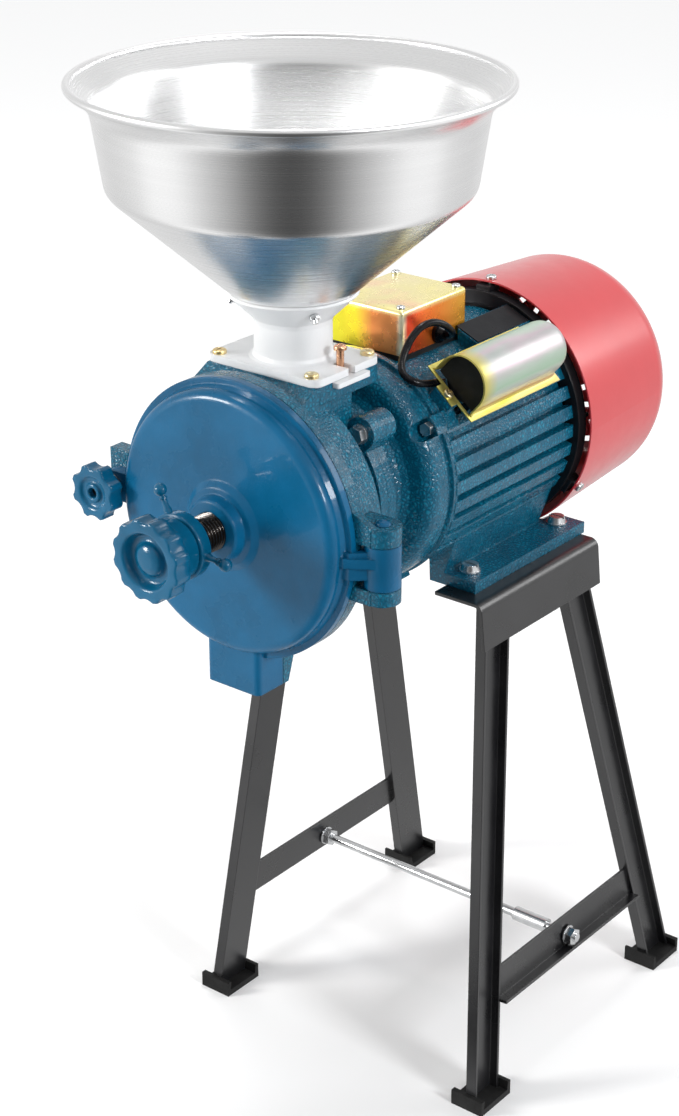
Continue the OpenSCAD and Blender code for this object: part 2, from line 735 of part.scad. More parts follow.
module cover_clamp_lug() difference() {
    translate([0, 0, spindle_z]) along_y(clamp_start, part_y - clamp_start) union() {
        translate([-clamp_x, 0]) circle(clamp_lug_r - 1);
        translate([-clamp_x, -clamp_lug_r + 1]) square([clamp_x - cover_r + 6, 2 * clamp_lug_r - 2]);
    }
    tube(clamp_start - 1, 20, chamber_r);
}

module hinge_pin() color("silver") {
    z0 = knuckle_z - hinge_gap - lower_lug_h - 4;
    z1 = knuckle_z + knuckle_h + hinge_gap + upper_lug_h + seat_gap;
    translate([hinge_x, hinge_y, z0]) cylinder(r = hinge_pin_r, h = z1 - z0 + eps);
    translate([hinge_x, hinge_y, z1]) rotate_extrude() intersection() {
        translate([0, -5.5]) circle(8.5);
        square([10, 10]);
    }
}

module guide_pins() color("silver") along_spindle(face_y + 2.5 + run_gap) for (a = [30, 150, 270])
    at_angle(a) translate([guide_at, 0, 0]) cylinder(r = guide_r, h = plate_y + plate_t + 4 - face_y - 2.5);

module clamp_washer() color("silver") translate([-clamp_x, clamp_start - seat_gap, spindle_z])
    rotate([90, 0, 0]) difference() {
        cylinder(r = 10, h = washer_t);
        translate([0, 0, -1]) cylinder(r = clamp_screw_r + run_gap, h = washer_t + 2);
    }

module clamp_screw() color("dimgray") translate([-clamp_x, knob_seat - knob_hub_l - knob_t + 5, spindle_z])
    rotate([-90, 0, 0]) cylinder(r = clamp_screw_r, h = part_y + clamp_reach - knob_seat + knob_hub_l + knob_t - 5);

// Star knob with eight lobes, a dished face and a dark hub behind
module star_knob() color("steelblue") translate([-clamp_x, knob_seat - run_gap, spindle_z]) rotate([90, 0, 0])
    difference() {
        union() {
            cylinder(r = 11, h = knob_hub_l + 1);
            translate([0, 0, knob_hub_l]) lobed(knob_r, knob_t, 8, 0.5, 0.86);
        }
        translate([0, 0, -1]) cylinder(r = clamp_screw_r + run_gap, h = knob_t + knob_hub_l + 2);
        translate([0, 0, knob_hub_l + knob_t]) rotate([180, 0, 0]) rotate_extrude() polygon([
            [0.62 * knob_r, -1], [0.62 * knob_r, 0], [0.52 * knob_r, 2.6], [0.36 * knob_r, 2.8],
            [0.32 * knob_r, 0.6], [0.32 * knob_r, -1]]);
    }

// A disc with a rounded rim and n hollows; their radius and their depth's circle are shares of r
module lobed(r, t, n, hollow, floor_at) {
    edge = t * 0.3;
    intersection() {
        rotate_extrude() {
            square([r - edge, t]);
            translate([0, edge]) square([r, t - 2 * edge]);
            for (z = [edge, t - edge]) translate([r - edge, z]) circle(edge);
        }
        translate([0, 0, -1]) linear_extrude(t + 2) difference() {
            circle(r + 1);
            for (i = [0:n - 1]) rotate([0, 0, (i + 0.5) * 360 / n])
                translate([(floor_at + hollow) * r, 0]) circle(hollow * r);
        }
    }
}

// ---- Adjuster ----

module adjusting_screw() color("dimgray") {
    tube(ring_y - run_gap, plate_y - 7 - ring_y + run_gap, adjust_r);
    tube(plate_y - 8, screw_tip, adjust_spigot_r);
    tube(wheel_y + 6, ring_y - wheel_y - 6, wheel_spigot_r);
}

module handwheel() color("steelblue") along_spindle(wheel_y) difference() {
    union() {
        lobed(wheel_r, wheel_t, wheel_lobes, 0.35, 0.93);
        translate([0, 0, wheel_t - 1]) cylinder(r = drum_hub_r, h = drum_hub_l + 1);
    }
    translate([0, 0, 6]) cylinder(r = wheel_spigot_r + run_gap, h = wheel_t + drum_hub_l);
    rotate_extrude() polygon([[0.7 * wheel_r, -1], [0.7 * wheel_r, 0], [0.6 * wheel_r, 4.5],
        [0.42 * wheel_r, 5], [0.36 * wheel_r, 3], [0.2 * wheel_r, 1.6], [0, 1.2], [0, -1]]);
}

module lock_ring() color("steelblue") difference() {
    union() {
        along_spindle(ring_y) rotate_extrude() {
            square([ring_r - 1.5, ring_t]);
            translate([0, 1.5]) square([ring_r, ring_t - 3]);
            for (s = [1.5, ring_t - 1.5]) translate([ring_r - 1.5, s]) circle(1.5);
        }
        along_spindle(ring_y + ring_t / 2) for (a = [115, -5]) at_angle(a) {
            rotate([0, 90, 0]) cylinder(r1 = 3, r2 = 2.2, h = ball_reach);
            translate([ball_reach, 0, 0]) sphere(ball_r);
        }
    }
    tube(ring_y - 1, ring_t + 2, adjust_r + run_gap);
}

// ---- Grinding gear ----

// Plate behind the cover that holds the fixed disc; its three ears slide on the guide pins
module pressure_plate() color("dimgray") difference() {
    union() {
        tube(plate_y, plate_t, disc_r);
        tube(plate_y - 7, 8, boss_r - 9);
        along_spindle(plate_y) for (a = [30, 150, 270]) at_angle(a) {
            translate([guide_at, 0, 0]) cylinder(r = guide_r + 4, h = plate_t);
            translate([disc_r - 5, -guide_r - 4, 0]) cube([guide_at - disc_r + 5, 2 * guide_r + 8, plate_t]);
        }
    }
    tube(plate_y - 8, screw_tip + run_gap, adjust_spigot_r + run_gap);
    along_spindle(plate_y - 1) for (a = [30, 150, 270]) at_angle(a)
        translate([guide_at, 0, 0]) cylinder(r = guide_r + run_gap, h = plate_t + 2);
}

// A grinding disc with straight furrows set off-centre, cut into the face at Z = disc_t
module grinding_disc() difference() {
    cylinder(r = disc_r, h = disc_t);
    translate([0, 0, -1]) cylinder(r = eye_r, h = disc_t + 2);
    for (i = [0:furrows - 1]) rotate([0, 0, i * 360 / furrows])
        translate([eye_r - 6, eye_r * 0.45, disc_t - 2]) cube([disc_r, 2.5, 3]);
}

module fixed_disc() color("gray") along_spindle(fixed_y) grinding_disc();

module moving_disc() color("gray") along_spindle(moving_y + disc_t) rotate([180, 0, 0]) grinding_disc();

// Hub that carries the moving disc on three spokes, with windows for the grain between them
module disc_hub() color("dimgray") along_spindle(hub_plate_y) difference() {
    union() {
        difference() {
            cylinder(r = disc_r - 1, h = hub_plate_t);
            translate([0, 0, -1]) cylinder(r = eye_r, h = hub_plate_t + 2);
        }
        for (a = [0, 120, 240]) rotate([0, 0, a]) translate([0, -5, 0]) cube([eye_r + 5, 10, hub_plate_t]);
        translate([0, 0, 3 - disc_t]) cylinder(r = shaft_r + 4, h = disc_t + hub_plate_t - seat_gap);
    }
    translate([0, 0, -disc_t]) cylinder(r = shaft_r + run_gap, h = 2 * disc_t + hub_plate_t);
}

module disc_bolt() color("silver") along_spindle(shaft_nose) {
    translate([0, 0, -3 - run_gap]) cylinder(r = shaft_r + 2.5, h = 3);
    translate([0, 0, -9]) hexagon(17, 6);
}

// Feed screw: a sleeve on the shaft with one helical flight
module feed_screw() color("dimgray") {
    y0 = hub_plate_y + hub_plate_t + 3;
    l = barrel_back - 2 - y0;
    along_spindle(y0) difference() {
        union() {
            cylinder(r = shaft_r + 3.5, h = l);
            linear_extrude(l, twist = 360 * l / flight_pitch, slices = 30) polygon([
                for (a = [-22, 22]) [(shaft_r + 2) * cos(a), (shaft_r + 2) * sin(a)],
                for (a = [22:-11:-22]) [flight_r * cos(a), flight_r * sin(a)]]);
        }
        translate([0, 0, -1]) cylinder(r = shaft_r + run_gap, h = l + 2);
    }
}

module main_shaft() color("silver") {
    tube(shaft_nose, housing_y - shaft_nose + 5, shaft_r);
    tube(housing_y + 4, housing_l - 14, rotor_seat_r);
    tube(rear_y - 11, 62, shaft_r);
}

module shaft_seal() color("black") tube(barrel_back + 1, 8, shaft_r + 5 - run_gap, shaft_r + run_gap);

// ---- Motor ----

module front_shield() color("steelblue") difference() {
    union() {
        along_spindle(motor_y) rotate_extrude($fn = 96) difference() {
            shield_outline();
            translate([0, bearing_w + 14]) polygon([[0, 0], [bearing_r + 14, 0], [bearing_r + 34, 10],
                [barrel_out_r - 8, shield_l - 42], [barrel_out_r - 8, shield_l], [0, shield_l]]);
        }
        motor_ears(motor_y, 12);
        shield_lugs(housing_y - 14.5, 14.5, 0);
        tube(motor_y, bearing_w + 18, bearing_r + 8);
    }
    tube(motor_y + bearing_w + 10, shield_l, bearing_r + 7.9, 0);
    tube(motor_y + 8, bearing_w + 20, bearing_r + run_gap);
    tube(motor_y - 1, 20, shaft_r + 5);
    ear_holes(motor_y - 1, 14);
    shield_lug_holes(housing_y - 14, 15);
    along_spindle(housing_y - 53) for (a = shield_at) at_angle(a) translate([fin_r - 2, 0, 0]) cylinder(r = 8, h = 40);
}

// Half section of the shield: flange, waist, and the bell that meets the housing
module shield_outline() {
    rim = fin_r;
    nose = 12;
    nose_y = shield_l - 17;
    waist = body_neck_r + 8;
    polygon([[0, 0], [flange_bolt_r - 10, 0], [flange_bolt_r - 10, 9], [waist, 13], [waist, nose_y - nose - 10],
        [waist + 2.5, nose_y - nose - 4], [waist + 8, nose_y - nose - 0.7], [rim - nose - 1.5, nose_y - nose],
        [rim - nose - 1.5, shield_l], [0, shield_l]]);
    translate([rim - nose - 1.5, nose_y]) circle(nose);
    translate([0, nose_y]) square([rim - 1.5, nose - 2]);
    polygon([[0, nose_y], [rim - 3.5, nose_y], [rim - 3.5, shield_l - 3], [rim, shield_l - 2.2],
        [rim, shield_l], [0, shield_l]]);
}

// Lugs on the shield or the housing for the four through bolts
module shield_lugs(y, l, grow) along_spindle(y) for (a = shield_at) at_angle(a)
    translate([fin_r - 9, -8 - grow, 0]) cube([14 + grow, 16 + 2 * grow, l]);

module shield_lug_holes(y, l) along_spindle(y) for (a = shield_at) at_angle(a)
    translate([fin_r - 2, 0, 0]) cylinder(r = 3 + hole_gap, h = l);

module shield_bolts() color("silver") along_spindle(housing_y - 13 - seat_gap) for (a = shield_at)
    at_angle(a) translate([fin_r - 2, 0, 0]) {
        translate([0, 0, -5]) hexagon(10, 5);
        translate([0, 0, -eps]) cylinder(r = 3, h = 13 + seat_gap + 12);
    }

// Outer rings of the two bearings; the shaft turns inside them
module motor_bearings() color("gainsboro") for (y = [motor_y + 9, rear_y - bearing_w + 6])
    along_spindle(y) difference() {
        cylinder(r = bearing_r, h = bearing_w);
        translate([0, 0, -1]) cylinder(r = shaft_r + run_gap, h = bearing_w + 2);
        for (z = [-0.01, bearing_w - 0.99]) translate([0, 0, z]) difference() {
            cylinder(r = bearing_r - 4, h = 1);
            translate([0, 0, -1]) cylinder(r = shaft_r + 4, h = 3);
        }
    }

module motor_housing() color("steelblue") difference() {
    union() {
        along_spindle(housing_y) {
            cylinder(r = barrel_out_r, h = housing_l);
            rotate_extrude() polygon([[0, 0], [fin_r - 0.5, 0], [fin_r - 0.5, collar_l],
                [barrel_out_r - 1, collar_l + collar_taper], [0, collar_l + collar_taper]]);
            for (i = [0:fin_count - 1]) fin(i * 360 / fin_count);
        }
        shield_lugs(housing_y, lug_tail, 0);
        foot_block();
        along_y(box_y - box_l / 2, box_l) translate([-box_left, saddle_z - 12])
            translate([-box_w / 2, 0]) square([box_w, 12]);
        cap_pads();
        at_plate() translate([-plate_w / 2 - 1, -1, barrel_out_r - 10])
            cube([plate_w + 2, plate_l + 2, plate_r - barrel_out_r + 10]);
    }
    tube(housing_y - 1, housing_l + 2, barrel_out_r - barrel_t);
    shield_lug_holes(housing_y - 1, 14.2);
    translate([-box_left, box_y, spindle_z]) cylinder(r = 10, h = shaft_h * 2);
    foot_holes(foot_z, foot_t);
    above_saddle();
    cap_screw_places() translate([0, 0, -10]) cylinder(r = 2 + hole_gap, h = 12);
    tube(fan_cover_y - 2, 60, fan_cover_r + 2);
}

// One cooling fin, cut short at the front and left out over the feet
module fin(a) if (fin_open(a)) at_angle(a) translate([barrel_out_r - 2, -fin_t / 2, 0]) {
    translate([0, 0, collar_l - 1]) cube([fin_r - barrel_out_r + 2, fin_t, housing_l - collar_l + 1]);
}

// Fins stand where neither the feet nor the saddle of the terminal box covers the barrel
function fin_open(a) = (a < 225 || a > 315) && !(a > 58 && a < 131);

// The saddle's top and the space over it are cut flat
module above_saddle() translate([-box_left - box_w / 2 - 4, box_y - box_l / 2 - 4, saddle_z])
    cube([box_w + 8, box_l + 8, 40]);

// Both feet: a sloping pedestal under the barrel and a flange on the rail
module foot_block() for (s = [-1, 1]) {
    x_in = foot_gauge / 2 - 28;
    x_out = foot_gauge / 2 + foot_edge;
    along_y(foot_mid - foot_l / 2, foot_l) polygon([[s * x_in, foot_z], [s * x_out, foot_z],
        [s * x_out, foot_z + foot_t], [s * x_in, foot_z + foot_t]]);
    along_y(foot_mid - foot_l / 2, housing_y + housing_l - foot_mid + foot_l / 2) polygon([
        [s * x_in, foot_z], [s * (x_in + 14), foot_z], [s * (x_in + 14), foot_z + foot_t],
        [s * barrel_out_r * 0.98, spindle_z - barrel_out_r * 0.36], [s * barrel_out_r * 0.8, spindle_z - barrel_out_r * 0.36],
        [s * (x_in - 2), spindle_z - barrel_out_r * 0.7]]);
}

module foot_holes(z, l) for (sx = [-1, 1], sy = [-1, 1])
    translate([sx * foot_gauge / 2, foot_mid + sy * foot_pitch / 2, z - 1])
        cylinder(r = foot_bolt_r + hole_gap * 2, h = l + 2);

// Frame in which Z points away from the spindle through the capacitor cover
module at_capacitor() translate([0, 0, spindle_z]) rotate([0, cap_tilt, 0]) children();

// Two pads on the barrel that carry the capacitor cover's ends
module cap_pads() at_capacitor() for (y = [cap_y - cap_tab, cap_y + cap_l + 1])
    translate([cap_mid - 10, y, barrel_out_r - 12]) cube([20, cap_tab - 1, cap_base - barrel_out_r + 12 - seat_gap]);

module cap_screw_places() at_capacitor() for (y = [cap_y - cap_tab / 2 - 0.5, cap_y + cap_l + cap_tab / 2 + 0.5])
    translate([cap_mid, y, cap_base]) children();

module stator_core() color("slategray") tube(housing_y + 22, housing_l - 50, barrel_out_r - barrel_t - seat_gap, 50);

// The two end turns of the winding
module stator_windings() color("peru") for (y = [housing_y + 6, housing_y + housing_l - 27.8])
    along_spindle(y) rotate_extrude() {
        translate([54, 3]) square([18, 12.8]);
        translate([57, 0]) square([12, 15.8]);
        for (x = [57, 69]) translate([x, 3]) circle(3);
    }

module rotor() color("silver") {
    tube(housing_y + 22, housing_l - 50, 50 - air_gap, rotor_seat_r + run_gap);
    for (y = [housing_y + 15, housing_y + housing_l - 28]) tube(y, 7, 47, 32);
}

module rear_shield() color("black") difference() {
    union() {
        tube(rear_y, rear_ring_t, rear_ring_r);
        tube(rear_y - 10, 12, bearing_r + 7);
        along_spindle(rear_y + rear_ring_t - 8) for (a = fan_lugs) at_angle(a)
            translate([rear_ring_r - 12, -7, 0]) cube([fan_cover_r - fan_cover_t - seat_gap - rear_ring_r + 10, 14, 14]);
    }
    tube(rear_y - 11, bearing_w + 2, bearing_r + run_gap);
    tube(rear_y, 30, shaft_r + 3);
    along_spindle(rear_y - 1) difference() {
        cylinder(r = rear_ring_r - 12, h = 7);
        cylinder(r = bearing_r + 12, h = 7);
    }
    fan_lug_bores(2.2);
}

module fan_lug_bores(r) along_spindle(fan_cover_y + 7) for (a = fan_lugs) at_angle(a)
    rotate([0, 90, 0]) translate([0, 0, rear_ring_r - 8]) cylinder(r = r, h = 30);

// Radial fan: a hub with eight straight blades and a backing disc
module cooling_fan() color("black") along_spindle(rear_y + rear_ring_t + 6) difference() {
    union() {
        cylinder(r = shaft_r + 9, h = 26);
        cylinder(r = fan_r, h = 3);
        for (a = [0:45:315]) rotate([0, 0, a]) translate([shaft_r + 5, -1.5, 0]) cube([fan_r + 8 - shaft_r, 3, 24]);
    }
    translate([0, 0, -1]) cylinder(r = shaft_r + run_gap, h = 28);
}

// Deep drawn fan cover: a tapering wall, a rounded shoulder and a slotted back
module fan_cover() color("crimson") difference() {
    along_spindle(fan_cover_y) rotate_extrude($fn = 96) difference() {
        cover_shape(0);
        translate([-1, -1]) square([1, fan_cover_l]);
        cover_shape(fan_cover_t);
    }
    along_spindle(fan_cover_y + fan_cover_l - 30) for (ring = [26, 42, 58, 74], a = [0:30:330])
        at_angle(a + ring) translate([ring - 2.5, -ring * 0.2, 0]) cube([5, ring * 0.4, 40]);
    fan_lug_bores(2.2);
}

// Half section of the fan cover, drawn in by t
module cover_shape(t) {
    round_r = 30;
    back = fan_cover_l - t;
    polygon([[0, -t], [fan_cover_r - t, -t], [fan_cover_back_r - t, fan_cover_l - round_r],
        [fan_cover_back_r - round_r, fan_cover_l - round_r], [0, fan_cover_l - round_r]]);
    square([fan_cover_back_r - round_r, back]);
    translate([fan_cover_back_r - round_r, fan_cover_l - round_r]) circle(round_r - t);
}

module fan_cover_screws() color("silver") along_spindle(fan_cover_y + 7) for (a = fan_lugs) at_angle(a)
    rotate([0, 90, 0]) translate([0, 0, fan_cover_r - 0.1]) pan_screw(2, 10, 4.5, 2.8);

// ---- Terminal box ----

module box_base() color("black") difference() {
    translate([-box_left, box_y, saddle_z]) linear_extrude(5) rounded_rect(box_w - 1, box_l - 1, 3);
    translate([-box_left, box_y, saddle_z - 1]) linear_extrude(7) rounded_rect(box_w - 22, box_l - 22, 3);
    box_corners() translate([0, 0, saddle_z - 1]) cylinder(r = 1.6, h = 7);
}

module box_corners() for (sx = [-1, 1], sy = [-1, 1])
    translate([-box_left + sx * (box_w / 2 - 6.5), box_y + sy * (box_l / 2 - 6.5), 0]) children();

module box_lid() color("goldenrod") difference() {
    translate([-box_left, box_y, box_z]) linear_extrude(box_h) rounded_rect(box_w, box_l, 4);
    translate([-box_left, box_y, box_z - 1])
        linear_extrude(box_h + 1 - box_t) rounded_rect(box_w - 2 * box_t, box_l - 2 * box_t, 3);
    box_corners() translate([0, 0, box_z]) cylinder(r = 2, h = box_h + 1);
    lead_bore(6.2);
    mains_bore(9.2);
}

module lead_bore(r) translate([-box_left, box_y + lead_side, box_z + 8]) rotate([0, 90, 0]) cylinder(r = r, h = box_w);

module mains_bore(r) translate([-box_left, box_y, box_z + 14]) rotate([0, -90, 0]) cylinder(r = r, h = box_w);

module box_screws() color("silver") box_corners() translate([0, 0, box_z + box_h])
    pan_screw(1.5, box_h + 4, 3.6, 2.2);

// Six-way terminal block with its studs
module terminal_block() color("white") translate([-box_left, box_y, saddle_z + 0.3]) difference() {
    union() {
        translate([-18, -24, 0]) cube([36, 48, 9]);
        for (x = [-9, 9], y = [-15, 0, 15]) translate([x, y, 8]) cylinder(r = 2.5, h = 9);
    }
}

// Rubber grommet in a side of the lid: a flange outside, a groove and a tapered nose
module grommet(r, bore) difference() {
    union() {
        cylinder(r = r + 2.3, h = 3);
        translate([0, 0, -box_t - 2]) cylinder(r = r - run_gap, h = 4);
        translate([0, 0, -box_t - 2.2 - run_gap]) cylinder(r = r + 1, h = 2.2);
        translate([0, 0, 2]) cylinder(r1 = r + 0.5, r2 = bore + 1.6, h = 6);
    }
    translate([0, 0, -6]) cylinder(r = bore, h = 20);
}

module lead_grommet() color("black") translate([-box_left + box_w / 2 + run_gap, box_y + lead_side, box_z + 8])
    rotate([0, 90, 0]) grommet(6, lead_r + 2 * run_gap);

// The mains lead's inlet, on the far side, with no lead in it
module mains_grommet() color("black") translate([-box_left - box_w / 2 - run_gap, box_y, box_z + 14])
    rotate([0, -90, 0]) grommet(9, 4.5);

// ---- Capacitor ----

module capacitor_cover() color("goldenrod") difference() {
    at_capacitor() union() {
        translate([cap_mid, 0, cap_base]) along_y(cap_y, cap_l) difference() {
            union() {
                translate([-cap_w / 2, 0]) square([cap_w, box_t]);
                arch(cap_r, cap_side);
            }
            translate([0, -1]) arch(cap_r - box_t, cap_side + 1);
        }
        translate([cap_mid, 0, cap_base]) along_y(cap_y + cap_l - box_t, box_t) arch(cap_r, cap_side);
        translate([cap_mid - cap_w / 2, cap_y - 3, cap_base]) cube([cap_w, 3 + eps, box_t]);
        translate([cap_mid - 10, cap_y - cap_tab, cap_base]) cube([20, cap_tab - 2, box_t]);
        translate([cap_mid - 10, cap_y + cap_l - 1, cap_base]) cube([20, cap_tab + 1, box_t]);
    }
    cap_screw_places() translate([0, 0, -1]) cylinder(r = 2 + hole_gap, h = 4);
}

module arch(r, side) {
    translate([-r, 0]) square([2 * r, side]);
    intersection() {
        translate([0, side]) circle(r);
        translate([-r, side]) square([2 * r, r + 1]);
    }
}

module capacitor() color("black") at_capacitor() translate([cap_mid, cap_y + 5, cap_base + cap_side + cap_r - box_t - capacitor_r - 0.3])
    rotate([-90, 0, 0]) {
        cylinder(r = capacitor_r, h = cap_l - 12);
        translate([0, 0, -2]) cylinder(r = capacitor_r - 4, h = 3);
    }

module capacitor_screws() color("silver") cap_screw_places() translate([0, 0, box_t + seat_gap])
    pan_screw(2, 8, 4.2, 2.8);

// The lead that loops from the box to the capacitor, as a tube swept along a smooth curve
lead_route = [[22, -24, 96.5], [34, -24, 96.5], [39.2, -24.9, 97.6], [43.2, -28.3, 100.8], [45.3, -34.2, 105.6],
    [45, -41.5, 111.2], [42.3, -52, 115.4], [40.2, -64, 115], [39.5, -75, 110], [40, -84, 102.8], [42.8, -93, 96.4],
    [47.2, -100.2, 92], [52.5, -104.3, 88.6], [58.6, -103.9, 85.4], [63, -99.8, 82.8], [65.2, -93.8, 81.1],
    [66.4, -87.5, 79.9], [67.2, -82, 79], [69, -78, 78.5], [71.8, -75.8, 78.4]];

// Point and direction on the curve through the route's points
function spline(p0, p1, p2, p3, t) = 0.5 * (2 * p1 + (p2 - p0) * t + (2 * p0 - 5 * p1 + 4 * p2 - p3) * t * t
    + (3 * p1 - p0 - 3 * p2 + p3) * t * t * t);
function route_point(i, t) = spline(lead_route[max(i - 1, 0)], lead_route[i], lead_route[i + 1],
    lead_route[min(i + 2, len(lead_route) - 1)], t);
lead_steps = 4;
lead_path = [for (i = [0:len(lead_route) - 2], k = [0:lead_steps - 1]) route_point(i, k / lead_steps),
    lead_route[len(lead_route) - 1]];
lead_sides = 10;
function unit(v) = v / norm(v);
function lead_way(i) = unit(lead_path[min(i + 1, len(lead_path) - 1)] - lead_path[max(i - 1, 0)]);
function lead_ring(i) = let (w = lead_way(i), u = unit(cross(w, [1, 0.3, 0.2])), v = cross(w, u))
    [for (k = [0:lead_sides - 1]) lead_path[i] + lead_r * (cos(k * 360 / lead_sides) * u
        + sin(k * 360 / lead_sides) * v)];

module capacitor_lead() color("black") translate([0, box_y + 28, spindle_z]) {
    n = len(lead_path);
    polyhedron(points = [for (i = [0:n - 1]) each lead_ring(i)],
        faces = [[for (k = [0:lead_sides - 1]) k],
            for (i = [0:n - 2], k = [0:lead_sides - 1]) [i * lead_sides + k, (i + 1) * lead_sides + k,
                (i + 1) * lead_sides + (k + 1) % lead_sides, i * lead_sides + (k + 1) % lead_sides],
            [for (k = [lead_sides - 1:-1:0]) (n - 1) * lead_sides + k]]);
}

// Frame of the data plate, on its pad between the box and the capacitor
module at_plate() translate([0, 0, spindle_z]) rotate([0, plate_tilt, 0])
    translate([0, rear_y - 1.5 - plate_l, 0]) children();

module data_plate() color("silver") at_plate() translate([-plate_w / 2, 0, plate_r + seat_gap]) cube([plate_w, plate_l, 0.8]);

// ---- Stand ----

module foot_bolts() color("silver") for (sx = [-1, 1], sy = [-1, 1])
    translate([sx * foot_gauge / 2, foot_mid + sy * foot_pitch / 2, foot_z + foot_t + seat_gap]) {
        cylinder(r = 9, h = 1.6);
        difference() {
            translate([0, 0, 1.5]) cylinder(r1 = 8, r2 = 6.6, h = 5);
            translate([-9, -1, 4.6]) cube([18, 2, 3]);
        }
        translate([0, 0, -foot_t - rail_t - 12]) cylinder(r = foot_bolt_r, h = foot_t + rail_t + 12 + eps);
        translate([0, 0, -foot_t - rail_t - seat_gap * 2 - 8]) difference() {
            hexagon(16, 8);
            translate([0, 0, -1]) cylinder(r = foot_bolt_r - eps, h = 10);
        }
    }

// The plane of a leaning side of the stand through x at the rails' bend; X points out, Z up
module side_plane(x, lean) translate([x, 0, stand_h]) rotate([0, -lean, 0]) children();

module rail() {
    y0 = foot_mid - 96;
    difference() {
        union() {
            translate([rail_x - rail_w, y0, stand_h - rail_t]) cube([rail_w - rail_bend, rail_l, rail_t]);
            along_y(y0, rail_l) translate([rail_x - rail_bend, stand_h - rail_bend]) rail_corner();
            translate([rail_x - rail_bend, y0, stand_h - rail_bend]) rotate([0, -rail_lean, 0])
                translate([rail_bend - rail_t, 0, rail_bend - rail_drop]) cube([rail_t, rail_l, rail_drop - rail_bend + eps]);
        }
        foot_holes(stand_h - rail_t, rail_t);
    }
}

// The turn between the rail's two flanges
module rail_corner() difference() {
    circle(rail_bend);
    circle(rail_bend - rail_t);
    translate([-2 * rail_bend, -rail_bend]) square([2 * rail_bend, 3 * rail_bend]);
    rotate(rail_lean) translate([-rail_bend, -2 * rail_bend]) square([3 * rail_bend, 2 * rail_bend]);
}

// A channel along Z that is open towards +X, with its open edges at X = 0
module channel(w, d, t, l) linear_extrude(l) difference() {
    translate([-d, -w / 2]) square([d, w]);
    translate([t - d, t - w / 2]) square([d, w - 2 * t]);
}

// Puts children on a leg's line: Z runs up the leg, and X = 0 is at its open edges
module on_leg(front) side_plane(leg_out, lean_out) translate([0, front ? front_top : rear_top, -leg_drop])
    rotate([front ? -lean_front : lean_rear, 0, 0]) children();

leg_drop = rail_bend + 0.5;
leg_l = (stand_h + 40) / cos(lean_rear);
leg_foot = pad_foot_h - 8;

module leg(front) intersection() {
    on_leg(front) translate([0, 0, -leg_l]) channel(leg_w, leg_d, leg_t, leg_l + 20);
    translate([0, -500, leg_foot]) cube([400, 1000, stand_h - leg_foot - leg_drop]);
}

module legs() for (front = [true, false]) leg(front);

// Crossbar between the legs of one side: an angle with its flange at the bottom, pointing out
module crossbar() difference() {
    side_plane(leg_out, lean_out) translate([-3, front_top - 80, (tie_h - stand_h) / cos(lean_out)])
        rotate([-90, 0, 0]) linear_extrude(rear_top - front_top + 260) {
            translate([-leg_t, 12 - bar_h]) square([leg_t, bar_h]);
            translate([-leg_t, 12 - leg_t]) square([bar_d, leg_t]);
        }
    for (front = [true, false]) on_leg(front) translate([-leg_d - 5, front ? -400 : -leg_w / 2, -leg_l])
        cube([50, 400 + leg_w / 2, leg_l + 20]);
    translate([0, tie_y(), tie_h]) rotate([0, 90, 0]) cylinder(r = tie_r + hole_gap, h = 2 * rail_x);
}

function tie_y() = foot_mid + 15.5;

module both_sides(right) if (right) children(); else mirror([1, 0, 0]) children();

// How far the tie rod sticks out of the crossbars, and the length of its sleeve
tie_end = 14;
tie_sleeve = 34;

module tie_rod() color("silver") translate([0, tie_y(), tie_h]) rotate([0, 90, 0]) {
    translate([0, 0, -bar_reach - tie_end]) cylinder(r = tie_r, h = 2 * (bar_reach + tie_end));
    translate([0, 0, bar_reach - tie_sleeve - 18]) cylinder(r = tie_r + 2.5, h = tie_sleeve);
}

// Distance from the middle of the machine to the inner face of a crossbar at the tie rod
bar_reach = leg_out + (stand_h - tie_h) * tan(lean_out) - (3 + leg_t) / cos(lean_out);

module tie_nuts() color("silver") for (s = [-1, 1], x = [bar_reach - 9.1, bar_reach + leg_t + 2.1])
    translate([s * x, tie_y(), tie_h]) rotate([0, s * 90, 0]) difference() {
        union() {
            hexagon(14, 7);
            translate([0, 0, x < bar_reach ? 7 : -1]) cylinder(r = 8.5, h = 1);
        }
        translate([0, 0, -2]) cylinder(r = tie_r + run_gap, h = 12);
    }

// Middle of a leg's lower end at height z, as X and Y
function leg_x(z) = leg_out + (stand_h - z) * tan(lean_out) - leg_d / 2 / cos(lean_out);
function leg_y(front, z) = let (down = (stand_h - z) / cos(lean_out) - leg_drop)
    (front ? front_top - down * tan(lean_front) : rear_top + down * tan(lean_rear));

// The slot of a rubber foot, which leans with the leg that stands in it
module foot_slot(front) translate([0, 0, leg_foot - seat_gap]) intersection() {
    translate([0, -(leg_y(front, pad_foot_h - 4) - leg_y(front, leg_foot)), 0])
        rotate([front ? -lean_front : lean_rear, 0, 0])
        translate([-pad_foot_w, -leg_w / 2 - seat_gap, -20]) cube([2 * pad_foot_w, leg_w + 2 * seat_gap, 60]);
    translate([-pad_foot_w, -pad_foot_l, 0]) cube([2 * pad_foot_w, 2 * pad_foot_l, 40]);
}

// Four rubber feet, each a tray with lips in front of and behind the leg
module rubber_feet() color("black") for (side = [1, -1], front = [true, false])
    translate([side * (leg_x(pad_foot_h) - 1), leg_y(front, pad_foot_h - 4), 0]) difference() {
        translate([-pad_foot_w / 2, -pad_foot_l / 2, 0]) cube([pad_foot_w, pad_foot_l, pad_foot_h]);
        foot_slot(front);
    }

